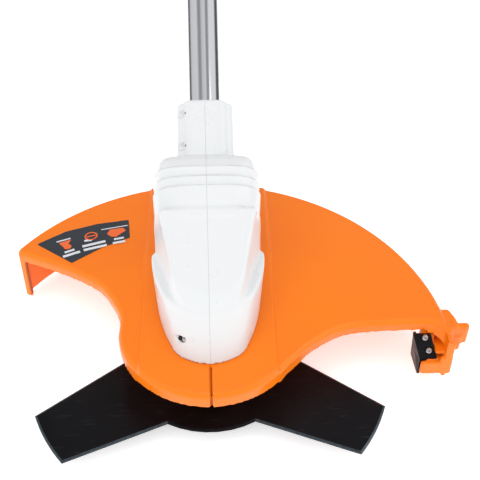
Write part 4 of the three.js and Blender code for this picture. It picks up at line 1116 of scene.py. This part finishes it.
def add_battery():
    """Battery pack: rounded case with a parting groove, side grips and a framed end."""
    def field(p):
        x, s, n = to_shaft(p)
        q = np.stack([x, s, n], axis=1)
        low, high = BATTERY["low"], BATTERY["high"]
        plug = block(q, (-37, 1476.3, low), (37, 1540, high), 8)
        case = block(q, (-40.6, 1528.8, low - 3.6), (40.6, 1622, high + 3.6), 8)
        whole = np.minimum(plug, case)
        groove = np.maximum(np.abs(n - 4) - 1.0, -(case + 1.2))
        whole = np.maximum(whole, -np.maximum(groove, 1534 - s))
        for k in range(5):
            dent = np.maximum(np.abs(s - 1556 - 11 * k) - 3.2, np.abs(n + 24) - 13)
            whole = np.maximum(whole, -np.maximum(dent, 39.2 - np.abs(x)))
        end = np.maximum(np.maximum(np.abs(x) - 26, np.abs(n + 7) - 28), 1620.6 - s)
        whole = np.maximum(whole, -end)
        socket = block(q, (-16, 1470, -15), (16, 1490, 5), 1)
        bay = block(q, (-12.4, 1539.6, high - 8), (12.4, 1562.4, high + 12), 1)
        return np.maximum(np.maximum(whole, -socket), -bay)

    low, high = cad_reach("battery_pack", 2)
    skin("battery_pack_skin", field, low, high, 1.7, black, "battery", "black_plastic", "battery_pack")


# ======================= carried-over CAD nodes =======================
BEVELS = {
    "bracket_upper": 1.0, "bracket_lower": 1.0, "harness_clamp": 0.5, "trigger": 1.2, "lockoff_button": 0.8,
    "battery_latch": 0.7, "line_knife": 0.35, "loop_bolt": 0.5, "harness_nut": 0.3, "drive_flange": 0.4,
    "thrust_washer": 0.3, "blade_nut": 0.4,
}


def dress_cad_nodes():
    """Gives every CAD node the look of its material slot, and rounds the edges of those that show."""
    slots = {row["node"]: row["material_slot"] for row in frame["record"]["subparts"]}
    for name, obj in frame["nodes"].items():
        look = LOOKS[slots[name]]
        if not obj.data.materials:
            obj.data.materials.append(look.material)
        for i in range(len(obj.material_slots)):
            obj.material_slots[i].link = "OBJECT"
            obj.material_slots[i].material = look.material
        if name in BEVELS:
            bevelled(obj, BEVELS[name])


# ======================= studio =======================
def add_floor():
    bpy.ops.mesh.primitive_plane_add(size=16, location=(0, 0.5, -0.0008))
    floor = bpy.context.object
    floor.name = "floor"
    look = Look("studio_floor", (0.93, 0.93, 0.93), 0.7)
    look.vary_colour(look.noise(3, 3), (0.91, 0.91, 0.915), 0.5)
    look.vary_roughness(look.noise(30, 3), 0.65, 0.8)
    look.shader.inputs["Emission Color"].default_value = (1, 1, 1, 1)
    look.shader.inputs["Emission Strength"].default_value = 0.55
    floor.data.materials.append(look.material)


def add_area(name, place, target, size, watts, in_reflections):
    light = bpy.data.lights.new(name, "AREA")
    light.shape = "RECTANGLE"
    light.size, light.size_y = size
    light.energy = watts
    obj = bpy.data.objects.new(name, light)
    obj.location = place
    obj.rotation_euler = (Vector(target) - Vector(place)).to_track_quat("-Z", "Y").to_euler()
    obj.visible_glossy = in_reflections
    bpy.context.scene.collection.objects.link(obj)


def studio_world():
    """White room for the eye and the fill light, with grey flags that only reflections see."""
    world = bpy.data.worlds.new("studio")
    bpy.context.scene.world = world
    world.use_nodes = True
    nodes, links = world.node_tree.nodes, world.node_tree.links
    background = nodes["Background"]
    coord = nodes.new("ShaderNodeTexCoord")
    split = nodes.new("ShaderNodeSeparateXYZ")
    links.new(coord.outputs["Generated"], split.inputs["Vector"])
    turn = nodes.new("ShaderNodeMath")
    turn.operation = "ARCTAN2"
    links.new(split.outputs["X"], turn.inputs[0])
    links.new(split.outputs["Z"], turn.inputs[1])
    scale = nodes.new("ShaderNodeMapRange")
    scale.inputs["From Min"].default_value = -math.pi
    scale.inputs["From Max"].default_value = math.pi
    links.new(turn.outputs["Value"], scale.inputs["Value"])
    ramp = nodes.new("ShaderNodeValToRGB")
    links.new(scale.outputs["Result"], ramp.inputs["Fac"])
    stops = ramp.color_ramp.elements
    stops[0].position, stops[1].position = 0, 1
    for degrees, grey in ROOM_GREYS:
        if degrees == -180:
            stop = stops[0]
        elif degrees == 180:
            stop = stops[len(stops) - 1]
        else:
            stop = stops.new((degrees + 180) / 360)
        stop.color = (grey, grey, grey * 1.02, 1)
    light_path = nodes.new("ShaderNodeLightPath")
    mix = nodes.new("ShaderNodeMix")
    mix.data_type = "RGBA"
    mix.inputs["A"].default_value = (0.60, 0.60, 0.61, 1)
    links.new(ramp.outputs["Color"], mix.inputs["B"])
    links.new(light_path.outputs["Is Glossy Ray"], mix.inputs["Factor"])
    links.new(mix.outputs["Result"], background.inputs["Color"])
    background.inputs["Strength"].default_value = 1.0


def add_camera():
    """The eye stands in front of the head, above it, looking 43 degrees down."""
    down, yaw, roll = EYE_DOWN, EYE_YAW, EYE_ROLL
    look = Vector((math.sin(yaw) * math.cos(down), math.cos(yaw) * math.cos(down), -math.sin(down)))
    flat_right = Vector((math.cos(yaw), -math.sin(yaw), 0))
    flat_up = flat_right.cross(look)
    right = math.cos(roll) * flat_right - math.sin(roll) * flat_up
    up = math.sin(roll) * flat_right + math.cos(roll) * flat_up
    camera = bpy.data.cameras.new("camera")
    camera.sensor_width = SENSOR
    camera.lens = LENS
    camera.clip_start, camera.clip_end = 0.01, 50
    obj = bpy.data.objects.new("camera", camera)
    turn = Matrix((right, up, -look)).transposed().to_4x4()
    obj.matrix_world = Matrix.Translation(EYE) @ turn
    bpy.context.scene.collection.objects.link(obj)
    bpy.context.scene.camera = obj


add_camera()
studio_world()
add_floor()
for row in LIGHTS:
    add_area(*row)
dress_cad_nodes()
add_housing()
add_guard()
add_label()
add_blade()
add_glide_cup()
add_tube()
add_screws()
add_loop()
add_loop_knob()
add_rear_handle()
add_battery()
bpy.context.scene.view_settings.view_transform = "Standard"
bpy.context.view_layer.update()
